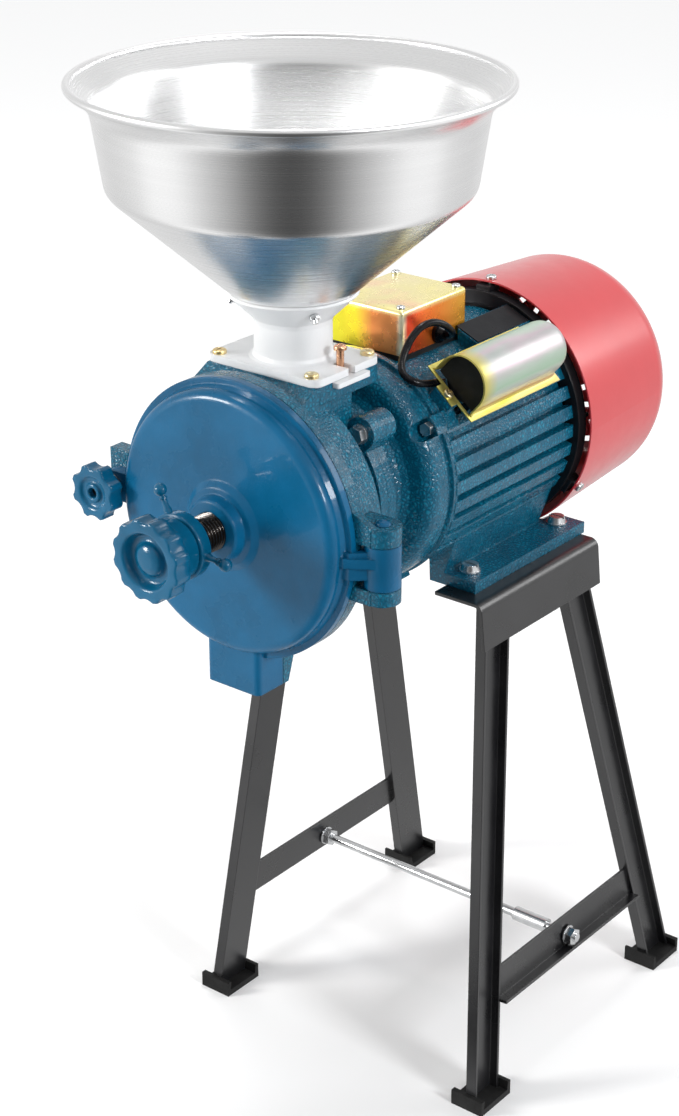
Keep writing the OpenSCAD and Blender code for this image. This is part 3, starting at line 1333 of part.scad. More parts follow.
module rail_right() color("black") rail();
module rail_left() color("black") mirror([1, 0, 0]) rail();
module legs_right() color("black") legs();
module legs_left() color("black") mirror([1, 0, 0]) legs();
module crossbar_right() color("black") crossbar();
module crossbar_left() color("black") mirror([1, 0, 0]) crossbar();

hopper();
hopper_screws();
hopper_seat();
seat_screws();
feed_gate();
gate_screw();
mill_body();
flange_bolts();
hinge_pin();
front_cover();
guide_pins();
clamp_washer();
clamp_screw();
star_knob();
adjusting_screw();
handwheel();
lock_ring();
pressure_plate();
fixed_disc();
moving_disc();
disc_hub();
disc_bolt();
feed_screw();
main_shaft();
shaft_seal();
front_shield();
shield_bolts();
motor_bearings();
motor_housing();
stator_core();
stator_windings();
rotor();
rear_shield();
cooling_fan();
fan_cover();
fan_cover_screws();
box_base();
box_lid();
box_screws();
terminal_block();
mains_grommet();
lead_grommet();
capacitor_cover();
capacitor();
capacitor_screws();
capacitor_lead();
data_plate();
foot_bolts();
rail_right();
rail_left();
legs_right();
legs_left();
crossbar_right();
crossbar_left();
tie_rod();
tie_nuts();
rubber_feet();
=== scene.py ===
import bmesh
import bpy
import math
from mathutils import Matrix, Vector


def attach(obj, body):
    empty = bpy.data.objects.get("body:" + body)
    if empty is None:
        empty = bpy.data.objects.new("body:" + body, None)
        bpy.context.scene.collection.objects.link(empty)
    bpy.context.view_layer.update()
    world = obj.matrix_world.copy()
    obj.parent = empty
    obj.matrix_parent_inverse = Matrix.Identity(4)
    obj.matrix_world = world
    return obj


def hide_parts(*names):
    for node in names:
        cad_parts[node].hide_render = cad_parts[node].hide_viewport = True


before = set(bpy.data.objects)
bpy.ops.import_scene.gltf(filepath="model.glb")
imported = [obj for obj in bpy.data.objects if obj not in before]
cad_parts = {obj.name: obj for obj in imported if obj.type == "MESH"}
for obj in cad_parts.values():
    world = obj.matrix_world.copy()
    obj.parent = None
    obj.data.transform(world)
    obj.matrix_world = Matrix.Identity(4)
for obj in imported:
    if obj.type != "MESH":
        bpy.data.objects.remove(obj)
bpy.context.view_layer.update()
bpy.ops.object.select_all(action="DESELECT")

# ---- Camera ----
# A long lens to the front right of the mill and above its hopper, looking down on it by 24 degrees. Its focal
# length is 2300 pixels in a view 1116 pixels high, whose middle lies a little left of the lens axis.
CAMERA_AT = (1.0592, -1.392875, 1.2353)
TILT, TURN = math.radians(66.0), math.radians(38.3)
FOCAL_LENGTH, VIEW_HIGH, VIEW_MIDDLE, LENS_AXIS = 2300, 1116, 339.5, 345
SENSOR = 36.0
bpy.ops.object.camera_add(location=CAMERA_AT, rotation=(TILT, 0, TURN))
camera = bpy.context.object
camera.data.sensor_width = SENSOR
camera.data.lens = FOCAL_LENGTH / VIEW_HIGH * SENSOR
camera.data.shift_x = (VIEW_MIDDLE - LENS_AXIS) / VIEW_HIGH
bpy.context.scene.camera = camera
bpy.context.scene.view_settings.view_transform = "Standard"


# ---- Capacitor lead ----
# A black rubber-covered lead, 6 mm thick. It leaves the terminal box through a grommet, stands up in a
# loose arch and goes into the front end of the capacitor cover.
def add_node(tree, kind, inputs=None, **settings):
    made = tree.nodes.new("ShaderNode" + kind)
    for key, value in settings.items():
        setattr(made, key, value)
    for key, value in (inputs or {}).items():
        if isinstance(value, bpy.types.NodeSocket):
            tree.links.new(value, made.inputs[key])
        else:
            made.inputs[key].default_value = value
    return made


def new_finish(name, colour, metallic=0.0, roughness=0.5, coat=0.0, coat_roughness=0.1, specular=0.5):
    material = bpy.data.materials.new(name)
    material.use_nodes = True
    tree = material.node_tree
    shader = tree.nodes["Principled BSDF"]
    shader.inputs["Base Color"].default_value = (*colour, 1)
    shader.inputs["Metallic"].default_value = metallic
    shader.inputs["Roughness"].default_value = roughness
    shader.inputs["Coat Weight"].default_value = coat
    shader.inputs["Coat Roughness"].default_value = coat_roughness
    shader.inputs["Specular IOR Level"].default_value = specular
    place = tree.nodes.new("ShaderNodeTexCoord").outputs["Object"]
    return material, tree, shader, place


def noise(tree, place, scale, detail=3.0, rough=0.55, distortion=0.0):
    return add_node(tree, "TexNoise", {"Vector": place, "Scale": scale, "Detail": detail, "Roughness": rough,
                                       "Distortion": distortion}).outputs["Fac"]


def ramp(tree, factor, stops):
    made = add_node(tree, "ValToRGB", {"Fac": factor})
    band = made.color_ramp
    while len(band.elements) < len(stops):
        band.elements.new(0.5)
    for element, (at, colour) in zip(band.elements, stops):
        element.position = at
        element.color = (*colour, 1)
    return made.outputs["Color"]


def spread(tree, value, low, high, start=0.3, end=0.7):
    return add_node(tree, "MapRange", {"Value": value, "From Min": start, "From Max": end, "To Min": low,
                                       "To Max": high}).outputs["Result"]


def bump(tree, shader, height, distance, strength=1.0, edge=0.0):
    inputs = {"Height": height, "Distance": distance, "Strength": strength}
    if edge:
        inputs["Normal"] = add_node(tree, "Bevel", {"Radius": edge}, samples=4).outputs["Normal"]
    made = add_node(tree, "Bump", inputs)
    tree.links.new(made.outputs["Normal"], shader.inputs["Normal"])


def rubber_finish(name, colour, roughness):
    material, tree, shader, place = new_finish(name, colour, roughness=roughness, specular=0.2)
    grain = noise(tree, place, 900, 4)
    worn = tuple(c * 1.7 + 0.002 for c in colour)
    tone = ramp(tree, noise(tree, place, 60, 5), [(0.35, colour), (0.7, worn)])
    tree.links.new(tone, shader.inputs["Base Color"])
    tree.links.new(spread(tree, grain, roughness - 0.06, roughness + 0.12), shader.inputs["Roughness"])
    bump(tree, shader, grain, 0.0002, 0.5)
    return material


def dress(name, material):
    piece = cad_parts[name]
    piece.data.materials.clear()
    piece.data.materials.append(material)


SPINDLE_Z = 0.553
LEAD_Y, LEAD_RADIUS, LEAD_STEPS = 0.059525, 0.003, 4
LEAD_ROUTE_MM = [(22, -24, 96.5), (34, -24, 96.5), (39.2, -24.9, 97.6), (43.2, -28.3, 100.8),
                 (45.3, -34.2, 105.6), (45, -41.5, 111.2), (42.3, -52, 115.4), (40.2, -64, 115),
                 (39.5, -75, 110), (40, -84, 102.8), (42.8, -93, 96.4), (47.2, -100.2, 92),
                 (52.5, -104.3, 88.6), (58.6, -103.9, 85.4), (63, -99.8, 82.8), (65.2, -93.8, 81.1),
                 (66.4, -87.5, 79.9), (67.2, -82, 79), (69, -78, 78.5), (71.8, -75.8, 78.4)]
rubber = rubber_finish("black_rubber", (0.002, 0.002, 0.003), 0.2)
curve = bpy.data.curves.new("lead_of_capacitor", "CURVE")
curve.dimensions = "3D"
curve.bevel_depth = LEAD_RADIUS
curve.bevel_resolution = 6
curve.use_fill_caps = True
spline = curve.splines.new("POLY")
points = [Vector((x / 1000, LEAD_Y + y / 1000, SPINDLE_Z + z / 1000)) for x, y, z in LEAD_ROUTE_MM]
path = []
for i in range(len(points) - 1):
    p0, p1, p2, p3 = points[max(i - 1, 0)], points[i], points[i + 1], points[min(i + 2, len(points) - 1)]
    for k in range(LEAD_STEPS):
        t = k / LEAD_STEPS
        path.append(0.5 * (2 * p1 + (p2 - p0) * t + (2 * p0 - 5 * p1 + 4 * p2 - p3) * t * t
                           + (3 * p1 - p0 - 3 * p2 + p3) * t * t * t))
path.append(points[-1])
spline.points.add(len(path) - 1)
for point, at in zip(spline.points, path):
    point.co = (*at, 1)
curve.materials.append(rubber)
lead = bpy.data.objects.new("lead_of_capacitor", curve)
bpy.context.collection.objects.link(lead)
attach(lead, "machine")
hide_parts("capacitor_lead")

# ---- Floor and light ----
# A plain pale floor in a white surround. The bright metal sees a studio that is white at the sides and dark
# in front. A soft lamp stands on the left, weaker ones on the right and behind, and one above.
FLOOR_SIZE, AIM_AT = 30, Vector((0, 0, 0.5))
FACING = (0.638, -0.770, 0.0)
HOPPER_Y = -0.114975
STUDIO = [(-1.0, 0.85), (-0.70, 0.70), (-0.23, 0.76), (-0.08, 1.0), (0.33, 1.0), (0.54, 0.74), (0.81, 0.42),
          (0.91, 0.19), (1.0, 0.05)]


def studio_tone(tree, way):
    flat = add_node(tree, "VectorMath", {0: way, 1: (1, 1, 0)}, operation="MULTIPLY").outputs[0]
    unit = add_node(tree, "VectorMath", {0: flat}, operation="NORMALIZE").outputs[0]
    turned_by = add_node(tree, "VectorMath", {0: unit, 1: FACING}, operation="DOT_PRODUCT").outputs["Value"]
    return ramp(tree, spread(tree, turned_by, 0, 1, -1, 1), [((c + 1) / 2, (b, b, b)) for c, b in STUDIO])


bpy.ops.mesh.primitive_plane_add(size=FLOOR_SIZE, location=(0, 0, 0))
floor = bpy.context.object
floor.name = "floor"
material, tree, shader, place = new_finish("pale_floor", (0.86, 0.86, 0.86), roughness=0.9, specular=0.1)
rays = tree.nodes.new("ShaderNodeLightPath")
away = add_node(tree, "VectorMath", {0: place}, operation="LENGTH").outputs["Value"]
lift = spread(tree, away, 0.10, 0.56, 0.4, 3.0)
lift = add_node(tree, "Math", {0: lift, 1: rays.outputs["Is Camera Ray"]}, operation="MULTIPLY").outputs[0]
tree.links.new(lift, shader.inputs["Emission Strength"])
shader.inputs["Emission Color"].default_value = (1, 1, 1, 1)
from_hopper = add_node(tree, "VectorMath", {0: place, 1: (0, HOPPER_Y, 0)}, operation="SUBTRACT").outputs[0]
mirrored = add_node(tree, "Emission", {"Color": studio_tone(tree, from_hopper), "Strength": 1.0}).outputs[0]
mixed = add_node(tree, "MixShader", {"Fac": rays.outputs["Is Glossy Ray"], 1: shader.outputs[0], 2: mirrored})
tree.links.new(mixed.outputs[0], tree.nodes["Material Output"].inputs["Surface"])
floor.data.materials.append(material)

world = bpy.data.worlds.new("studio")
bpy.context.scene.world = world
world.use_nodes = True
tree = world.node_tree
tree.nodes.clear()
rays = tree.nodes.new("ShaderNodeLightPath")
way = add_node(tree, "TexCoord").outputs["Generated"]
height = add_node(tree, "SeparateXYZ", {"Vector": way}).outputs[2]
overhead = spread(tree, height, 0, 1, 0.15, 0.6)
ceiling = (0.7, 0.7, 0.7, 1)
tone = add_node(tree, "MixRGB", {"Fac": overhead, 1: studio_tone(tree, way), 2: ceiling}).outputs[0]
soft = add_node(tree, "Background", {"Color": (0.98, 0.99, 1.0, 1), "Strength": 0.4})
mirrored = add_node(tree, "Background", {"Color": tone, "Strength": 1.0})
white = add_node(tree, "Background", {"Color": (1, 1, 1, 1), "Strength": 1.0})
seen = add_node(tree, "Math", {0: rays.outputs["Is Camera Ray"], 1: rays.outputs["Is Transmission Ray"]},
                operation="MAXIMUM").outputs[0]
mixed = add_node(tree, "MixShader", {"Fac": rays.outputs["Is Glossy Ray"], 1: soft.outputs[0],
                                     2: mirrored.outputs[0]})
mixed = add_node(tree, "MixShader", {"Fac": seen, 1: mixed.outputs[0], 2: white.outputs[0]})
tree.links.new(mixed.outputs[0], add_node(tree, "OutputWorld").inputs["Surface"])

LAMPS = [("left_lamp", (-1.7, -2.0, 1.15), 60, 0.7, (1, 0.99, 0.97)),
         ("right_lamp", (2.2, -0.3, 1.5), 30, 0.5, (0.97, 0.98, 1)),
         ("rear_lamp", (1.35, 1.75, 1.6), 16, 1.0, (1, 1, 1)),
         ("top_lamp", (-0.3, 0.6, 2.5), 20, 0.7, (1, 1, 1))]
for name, place, power, size, colour in LAMPS:
    bpy.ops.object.light_add(type="AREA", location=place)
    lamp = bpy.context.object
    lamp.name = name
    lamp.data.energy = power
    lamp.data.size = size
    lamp.data.color = colour
    lamp.rotation_euler = (AIM_AT - Vector(place)).to_track_quat("-Z", "Y").to_euler()


# ---- Stand ----
# Bent and welded sheet steel in satin black paint: two rails under the motor's feet, four channel legs that
# splay outward and two crossbars.
def satin_paint(name, colour, roughness, specular=0.8):
    material, tree, shader, place = new_finish(name, colour, roughness=roughness, specular=specular)
    fine = noise(tree, place, 700, 3)
    broad = noise(tree, place, 18, 5)
    tone = ramp(tree, broad, [(0.35, colour), (0.75, tuple(c * 1.8 + 0.002 for c in colour))])
    tree.links.new(tone, shader.inputs["Base Color"])
    tree.links.new(spread(tree, broad, roughness - 0.06, roughness + 0.08), shader.inputs["Roughness"])
    bump(tree, shader, fine, 0.0002, 0.3, edge=0.0012)
    return material


black_paint = satin_paint("black_stand_paint", (0.007, 0.007, 0.008), 0.30)
for name in ("rail_right", "rail_left", "legs_right", "legs_left", "crossbar_right", "crossbar_left"):
    dress(name, black_paint)


# ---- Rubber boots ----
# Four moulded boots of matt black rubber, pushed on under the legs. They stand on the floor and keep the
# mill from creeping.
dress("rubber_feet", rubber_finish("boot_rubber", (0.008, 0.008, 0.008), 0.6))


# ---- Bright fasteners ----
# Zinc-plated steel: the bolts, the screws, the tie rod and its nuts. The screws of the hopper's seat and of
# the capacitor cover are passivated yellow, and the gate's thumb screw is coppered.
def plating(name, colour, roughness, tint=None, cloud=40):
    material, tree, shader, place = new_finish(name, colour, metallic=1.0, roughness=roughness)
    broad = noise(tree, place, cloud, 4)
    other = tint or tuple(c * 0.72 for c in colour)
    tree.links.new(ramp(tree, broad, [(0.38, colour), (0.66, other)]), shader.inputs["Base Color"])
    fine = noise(tree, place, 1400, 2)
    tree.links.new(spread(tree, broad, roughness - 0.08, roughness + 0.14), shader.inputs["Roughness"])
    bump(tree, shader, fine, 0.00008, 0.4, edge=0.0005)
    return material


zinc = plating("bright_zinc", (0.74, 0.75, 0.76), 0.24)
for name in ("tie_rod", "tie_nuts", "foot_bolts", "flange_bolts", "shield_bolts", "hopper_screws",
             "clamp_washer", "box_screws", "fan_cover_screws", "disc_bolt"):
    dress(name, zinc)
yellow_screw = plating("yellow_screw_zinc", (0.83, 0.60, 0.24), 0.3, (0.72, 0.66, 0.45))
dress("seat_screws", yellow_screw)
dress("capacitor_screws", yellow_screw)
dress("gate_screw", plating("copper_plating", (0.74, 0.40, 0.24), 0.28, (0.58, 0.34, 0.20)))


# ---- Hammered enamel castings ----
# The grinding body, the motor shield and the finned motor barrel are cast iron under a dark teal enamel that
# dries in small bright pools with dark lines between them.
def hammered_enamel(name, dark, middle, light, cell=300):
    material, tree, shader, place = new_finish(name, middle, roughness=0.24, coat=0.2, coat_roughness=0.06,
                                               specular=0.35)
    waved = add_node(tree, "MixRGB", {"Fac": 0.0035, 1: place, 2: add_node(tree, "TexNoise", {
        "Vector": place, "Scale": 180.0, "Detail": 2.0}).outputs["Color"]}, blend_type="ADD")
    pools = add_node(tree, "TexVoronoi", {"Vector": waved.outputs[0], "Scale": cell},
                     feature="DISTANCE_TO_EDGE").outputs["Distance"]
    patches = noise(tree, place, 36, 5)
    fill = spread(tree, patches, 0.15, 1.5)
    shade = add_node(tree, "Math", {0: pools, 1: fill}, operation="MULTIPLY").outputs[0]
    tone = ramp(tree, shade, [(0.02, dark), (0.25, middle), (0.7, light)])
    tree.links.new(tone, shader.inputs["Base Color"])
    tree.links.new(spread(tree, patches, 0.18, 0.30), shader.inputs["Roughness"])
    bump(tree, shader, pools, 0.0014, 0.8, edge=0.002)
    return material


body_enamel = hammered_enamel("body_enamel", dark=(0.001, 0.075, 0.135), middle=(0.001, 0.140, 0.235),
                              light=(0.008, 0.26, 0.38))
for name in ("mill_body", "front_shield", "motor_housing"):
    dress(name, body_enamel)


# ---- Front cover and hinge pin ----
# The cast cover is hinged on the right of the grinding body and carries the adjusting screw. Its mid-blue
# enamel is smooth, with a soft orange-peel skin, and the hinge pin was painted with it.
def smooth_enamel(name, colour, roughness, coat):
    material, tree, shader, place = new_finish(name, colour, roughness=roughness, coat=coat,
                                               coat_roughness=0.06, specular=0.2)
    broad = noise(tree, place, 16, 5)
    thick, thin = tuple(c * 0.78 for c in colour), tuple(c * 1.2 for c in colour)
    tree.links.new(ramp(tree, broad, [(0.3, thick), (0.7, thin)]), shader.inputs["Base Color"])
    tree.links.new(spread(tree, broad, roughness - 0.05, roughness + 0.08), shader.inputs["Roughness"])
    peel = noise(tree, place, 420, 2, 0.4)
    bump(tree, shader, peel, 0.0004, 0.4, edge=0.002)
    return material


cover_enamel = smooth_enamel("cover_enamel", (0.001, 0.100, 0.220), 0.28, 0.25)
dress("front_cover", cover_enamel)
dress("hinge_pin", cover_enamel)


# ---- Handwheel ----
# A turned wheel in blue enamel with twelve finger hollows milled round its rim, a dished face and a drum
# behind it. It sits on the spigot of the adjusting screw.
ROUND_STEPS = 192


def drawn_line(name, points):
    bpy.ops.object.select_all(action="DESELECT")
    bpy.ops.mesh.primitive_plane_add(size=0.001, location=(0, 0, 0))
    piece = bpy.context.object
    piece.name = name
    piece.data.name = name
    bpy.ops.object.mode_set(mode="EDIT")
    bpy.ops.mesh.merge(type="CENTER")
    bpy.ops.transform.translate(value=points[0])
    for start, end in zip(points, points[1:]):
        bpy.ops.mesh.extrude_vertices_move(TRANSFORM_OT_translate={"value": end - start})
    return piece


def softened(profile, radius, steps=4):
    points = [Vector(p) for p in profile]
    line = [points[0]]
    for before, corner, after in zip(points, points[1:], points[2:]):
        reach = min(radius, (before - corner).length * 0.49, (after - corner).length * 0.49)
        a = corner + (before - corner).normalized() * reach
        b = corner + (after - corner).normalized() * reach
        for k in range(steps + 1):
            t = k / steps
            line.append((1 - t) ** 2 * a + 2 * t * (1 - t) * corner + t * t * b)
    return line + [points[-1]]


def turned(name, profile, centre, axis, steps=96):
    centre, axis = Vector(centre), Vector(axis).normalized()
    side = Vector((1, 0, 0)) if abs(axis.x) < 0.01 else Vector((0, 1, 0))
    piece = drawn_line(name, [centre + radius * side + along * axis for radius, along in profile])
    bpy.ops.mesh.select_all(action="SELECT")
    bpy.ops.mesh.spin(steps=steps, angle=2 * math.pi, center=centre, axis=axis)
    bpy.ops.mesh.select_all(action="SELECT")
    bpy.ops.mesh.remove_doubles(threshold=0.00001)
    bpy.ops.mesh.normals_make_consistent(inside=False)
    bpy.ops.object.mode_set(mode="OBJECT")
    bpy.ops.object.shade_smooth_by_angle(angle=math.radians(35))
    return piece


def hollowed(piece, centre, radius, count, hollow, floor_at, inner):
    per = ROUND_STEPS // count
    far = (floor_at + hollow) * radius
    bpy.ops.object.mode_set(mode="EDIT")
    mesh = bmesh.from_edit_mesh(piece.data)
    rim = []
    for corner in mesh.verts:
        x, z = corner.co.x - centre[0], corner.co.z - centre[2]
        if math.hypot(x, z) > inner:
            rim.append((corner, round(math.degrees(math.atan2(z, x)) * ROUND_STEPS / 360) % per))
    for step in range(per):
        off = min(step, per - step)
        angle = 2 * math.pi * off / ROUND_STEPS
        reach = (hollow * radius) ** 2 - (far * math.sin(angle)) ** 2
        if reach <= 0 or far * math.cos(angle) - math.sqrt(reach) >= radius:
            continue
        share = (far * math.cos(angle) - math.sqrt(reach)) / radius
        bpy.ops.mesh.select_all(action="DESELECT")
        for corner, at in rim:
            corner.select = at == step
        mesh.select_flush_mode()
        bpy.ops.transform.resize(value=(share, 1, share), center_override=centre)
    bpy.ops.object.mode_set(mode="OBJECT")


def finish(piece, body, node, material):
    piece.data.materials.clear()
    piece.data.materials.append(material)
    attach(piece, body)
    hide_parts(node)


WHEEL_CENTRE = (0, -0.287025, SPINDLE_Z)
WHEEL_RADIUS, WHEEL_THICK, DRUM_RADIUS, DRUM_END = 0.0325, 0.016, 0.024, 0.034
SPIGOT_BORE, SPIGOT_SEAT = 0.01005, 0.006
knob_enamel = smooth_enamel("knob_enamel", (0.001, 0.100, 0.205), 0.2, 0.4)
face = softened([(0, 0.0012), (0.0065, 0.0015), (0.0117, 0.0035), (0.0137, 0.0078), (0.0192, 0.0078),
                 (0.0222, 0), (WHEEL_RADIUS, 0), (WHEEL_RADIUS, WHEEL_THICK),
                 (DRUM_RADIUS + 0.003, WHEEL_THICK)], 0.002)
back = softened([(DRUM_RADIUS, WHEEL_THICK), (DRUM_RADIUS, DRUM_END), (SPIGOT_BORE, DRUM_END),
                 (SPIGOT_BORE, SPIGOT_SEAT), (0, SPIGOT_SEAT)], 0.0012)
wheel = turned("wheel_of_adjuster", face + back, WHEEL_CENTRE, (0, 1, 0), steps=ROUND_STEPS)
hollowed(wheel, WHEEL_CENTRE, WHEEL_RADIUS, count=12, hollow=0.35, floor_at=0.93, inner=0.0262)
finish(wheel, "adjuster", "handwheel", knob_enamel)

# ---- Star knob ----
# A moulded knob with eight hollows and a ring groove in its face. It is fixed on the end of the clamp screw,
# whose tip shows in its middle.
KNOB_CENTRE = (-0.122, -0.194225, SPINDLE_Z)
KNOB_RADIUS, KNOB_HUB, KNOB_FACE, KNOB_BORE = 0.0225, 0.008, 0.021, 0.00405
HUB_RADIUS = 0.011
shape = [(KNOB_BORE, 0)]
shape += softened([(KNOB_BORE, 0), (HUB_RADIUS, 0), (HUB_RADIUS, KNOB_HUB), (0.018, KNOB_HUB)], 0.0008)
shape += softened([(0.0181, KNOB_HUB), (KNOB_RADIUS, KNOB_HUB), (KNOB_RADIUS, KNOB_FACE),
                   (0.01395, KNOB_FACE), (0.0117, 0.0184), (0.0081, 0.0182), (0.0072, KNOB_FACE),
                   (KNOB_BORE, KNOB_FACE), (KNOB_BORE, 0)], 0.0016)
knob = turned("knob_of_clamp", shape, KNOB_CENTRE, (0, -1, 0), steps=ROUND_STEPS)
hollowed(knob, KNOB_CENTRE, KNOB_RADIUS, count=8, hollow=0.5, floor_at=0.86, inner=0.0165)
finish(knob, "clamp", "star_knob", knob_enamel)


# ---- Lock ring ----
# A turned ring on the adjusting screw, in the blue of the handwheel, with two ball-ended levers screwed
# into it.
def joined(pieces):
    bpy.ops.object.select_all(action="DESELECT")
    for piece in pieces:
        piece.select_set(True)
    bpy.context.view_layer.objects.active = pieces[0]
    bpy.ops.object.join()
    return pieces[0]


def arc(centre, radius, start, end, steps):
    turns = [math.radians(start + (end - start) * k / steps) for k in range(steps + 1)]
    return [Vector((centre[0] + radius * math.cos(a), centre[1] + radius * math.sin(a))) for a in turns]


RING_Y, RING_THICK, RING_BORE, RING_RADIUS = -0.252975, 0.011, 0.01505, 0.026
SEAM, BALL_AT, BALL_RADIUS, LEVER_ANGLES = 0.005, 0.044, 0.005, (115, -5)
ring_shape = softened([(RING_BORE, SEAM), (RING_BORE, 0), (RING_RADIUS, 0), (RING_RADIUS, RING_THICK),
                       (RING_BORE, RING_THICK), (RING_BORE, SEAM)], 0.0014)
ring = turned("ring_of_lock", ring_shape, (0, RING_Y, SPINDLE_Z), (0, 1, 0))
lever = [(0, 0.022), (0.0031, 0.022), (0.0030, 0.029), (0.0023, 0.0305), (0.0021, 0.0365),
         (0.0031, 0.0368), (0.0031, 0.0382), (0.0022, 0.0386)]
lever += [tuple(p)[::-1] for p in arc((BALL_AT, 0), BALL_RADIUS, 154, 0, 14)]
lever_root = (0, RING_Y + RING_THICK / 2, SPINDLE_Z)
levers = [turned("lever", lever, lever_root, (math.cos(math.radians(a)), 0, math.sin(math.radians(a))),
                 steps=24) for a in LEVER_ANGLES]
finish(joined([ring] + levers), "locker", "lock_ring", knob_enamel)

# ---- Adjusting screw ----
# Dark oiled steel with a cut thread, a spigot for the handwheel and a tip that pushes on the pressure plate.
# The clamp screw is made of the same steel.
THREAD_PITCH, THREAD_RADIUS, THREAD_DEPTH = 0.0031, 0.01495, 0.0020
THREAD_START, THREAD_END = -0.2530, -0.1910
SPIGOT, SPIGOT_END, TIP, TIP_END = 0.010, -0.281025, 0.009, -0.184975
dark_steel = plating("dark_oiled_steel", (0.10, 0.092, 0.086), 0.24, (0.055, 0.05, 0.048))
dress("clamp_screw", dark_steel)
root = THREAD_RADIUS - THREAD_DEPTH
core_shape = [(0, SPIGOT_END), (SPIGOT, SPIGOT_END), (SPIGOT, THREAD_START), (root, THREAD_START),
              (root, THREAD_END), (TIP, THREAD_END), (TIP, TIP_END), (0, TIP_END)]
core = turned("screw_of_adjuster", core_shape, (0, 0, SPINDLE_Z), (0, 1, 0), steps=64)
below_root = root - 0.0002
tooth = [(below_root, 0), (THREAD_RADIUS, 0.001), (THREAD_RADIUS, 0.0014), (below_root, THREAD_PITCH)]
thread = drawn_line("thread", [Vector((r, THREAD_START + y, SPINDLE_Z)) for r, y in tooth])
bpy.ops.object.mode_set(mode="OBJECT")
bpy.context.scene.cursor.location = (0, 0, SPINDLE_Z)
bpy.ops.object.origin_set(type="ORIGIN_CURSOR")
turn = thread.modifiers.new("turn", "SCREW")
turn.axis = "Y"
turn.steps = turn.render_steps = 48
turn.screw_offset = THREAD_PITCH
turn.iterations = int((THREAD_END - THREAD_START) / THREAD_PITCH)
turn.use_normal_calculate = True
turn.use_merge_vertices = True
bpy.ops.object.modifier_apply(modifier="turn")
bpy.ops.object.transform_apply(location=True, rotation=True, scale=True)
bpy.ops.object.shade_smooth_by_angle(angle=math.radians(30))
finish(joined([core, thread]), "adjuster", "adjusting_screw", dark_steel)


# ---- Grinding gear and motor core ----
# Behind the covers: bare cast iron discs with their plate, hub and feed screw, the ground shaft, pins and
# bearings, the stacked stator with its varnished copper, and the rotor cast in aluminium.
def bare_casting(name, colour, metallic=0.8):
    material, tree, shader, place = new_finish(name, colour, metallic=metallic, roughness=0.55)
    broad = noise(tree, place, 60, 6)
    darker, lighter = tuple(c * 0.7 for c in colour), tuple(c * 1.25 for c in colour)
    tree.links.new(ramp(tree, broad, [(0.3, darker), (0.7, lighter)]), shader.inputs["Base Color"])
    bump(tree, shader, noise(tree, place, 500, 5), 0.0003, 0.6)
    return material


iron = bare_casting("bare_cast_iron", (0.16, 0.16, 0.165))
for name in ("pressure_plate", "fixed_disc", "moving_disc", "disc_hub", "feed_screw"):
    dress(name, iron)
ground = plating("ground_steel", (0.55, 0.56, 0.57), 0.22)
for name in ("main_shaft", "guide_pins", "motor_bearings"):
    dress(name, ground)
dress("stator_core", bare_casting("stacked_sheet", (0.30, 0.31, 0.33)))
dress("stator_windings", plating("varnished_copper", (0.60, 0.27, 0.11), 0.4, (0.42, 0.17, 0.06)))
dress("rotor", bare_casting("cast_aluminium", (0.60, 0.60, 0.61), 0.95))
dress("shaft_seal", rubber_finish("seal_rubber", (0.015, 0.015, 0.015), 0.5))


# ---- Fan cover and rear shield ----
# A deep-drawn steel hood in glossy red enamel over the fan; the shield inside its rim is painted black. The
# fan, the base of the terminal box and the grommets are moulded black.
def gloss_enamel(name, colour):
    material, tree, shader, place = new_finish(name, colour, roughness=0.34, coat=0.8, coat_roughness=0.24)
    broad = noise(tree, place, 9, 3)
    thick, thin = tuple(c * 0.93 for c in colour), tuple(min(1, c * 1.06) for c in colour)
    tree.links.new(ramp(tree, broad, [(0.3, thick), (0.7, thin)]), shader.inputs["Base Color"])
    tree.links.new(spread(tree, noise(tree, place, 60, 3), 0.3, 0.38), shader.inputs["Roughness"])
    bump(tree, shader, noise(tree, place, 200, 1, 0.3), 0.0001, 0.25, edge=0.0012)
    return material


dress("fan_cover", gloss_enamel("red_enamel", (0.58, 0.034, 0.042)))
dress("rear_shield", satin_paint("black_shield_paint", (0.003, 0.003, 0.004), 0.32, 0.3))
moulded_black = rubber_finish("black_moulding", (0.012, 0.012, 0.012), 0.4)
for name in ("cooling_fan", "box_base"):
    dress(name, moulded_black)
for name in ("mains_grommet", "lead_grommet"):
    dress(name, rubber)
dress("terminal_block", rubber_finish("cream_moulding", (0.72, 0.68, 0.58), 0.42))

# ---- Terminal box lid ----
# Pressed from 1.2 mm sheet with rounded edges and yellow passivated zinc that turns from straw to red round
# its sides.
BOX_X, BOX_Y, BOX_LOW, BOX_HIGH = -0.011, 0.031525, 0.6415, 0.6785
BOX_WIDE, BOX_LONG, SHEET, BOX_EDGE = 0.074, 0.087, 0.0012, 0.0034
bpy.ops.object.select_all(action="DESELECT")
bpy.ops.mesh.primitive_cube_add(size=1, location=(BOX_X, BOX_Y, (BOX_LOW + BOX_HIGH) / 2),
                                scale=(BOX_WIDE, BOX_LONG, BOX_HIGH - BOX_LOW))
lid = bpy.context.object
lid.name = lid.data.name = "lid_of_box"
bpy.ops.object.transform_apply(location=True, rotation=True, scale=True)
bpy.ops.object.mode_set(mode="EDIT")
bpy.ops.mesh.select_mode(type="FACE")
mesh = bmesh.from_edit_mesh(lid.data)
for side in mesh.faces:
    side.select = side.normal.z < -0.5
bpy.ops.mesh.delete(type="FACE")
bpy.ops.mesh.select_mode(type="EDGE")
mesh = bmesh.from_edit_mesh(lid.data)
for edge in mesh.edges:
    edge.select = not edge.is_boundary
bpy.ops.mesh.bevel(offset=BOX_EDGE, segments=5, affect="EDGES")
bpy.ops.mesh.select_all(action="SELECT")
bpy.ops.mesh.normals_make_consistent(inside=False)
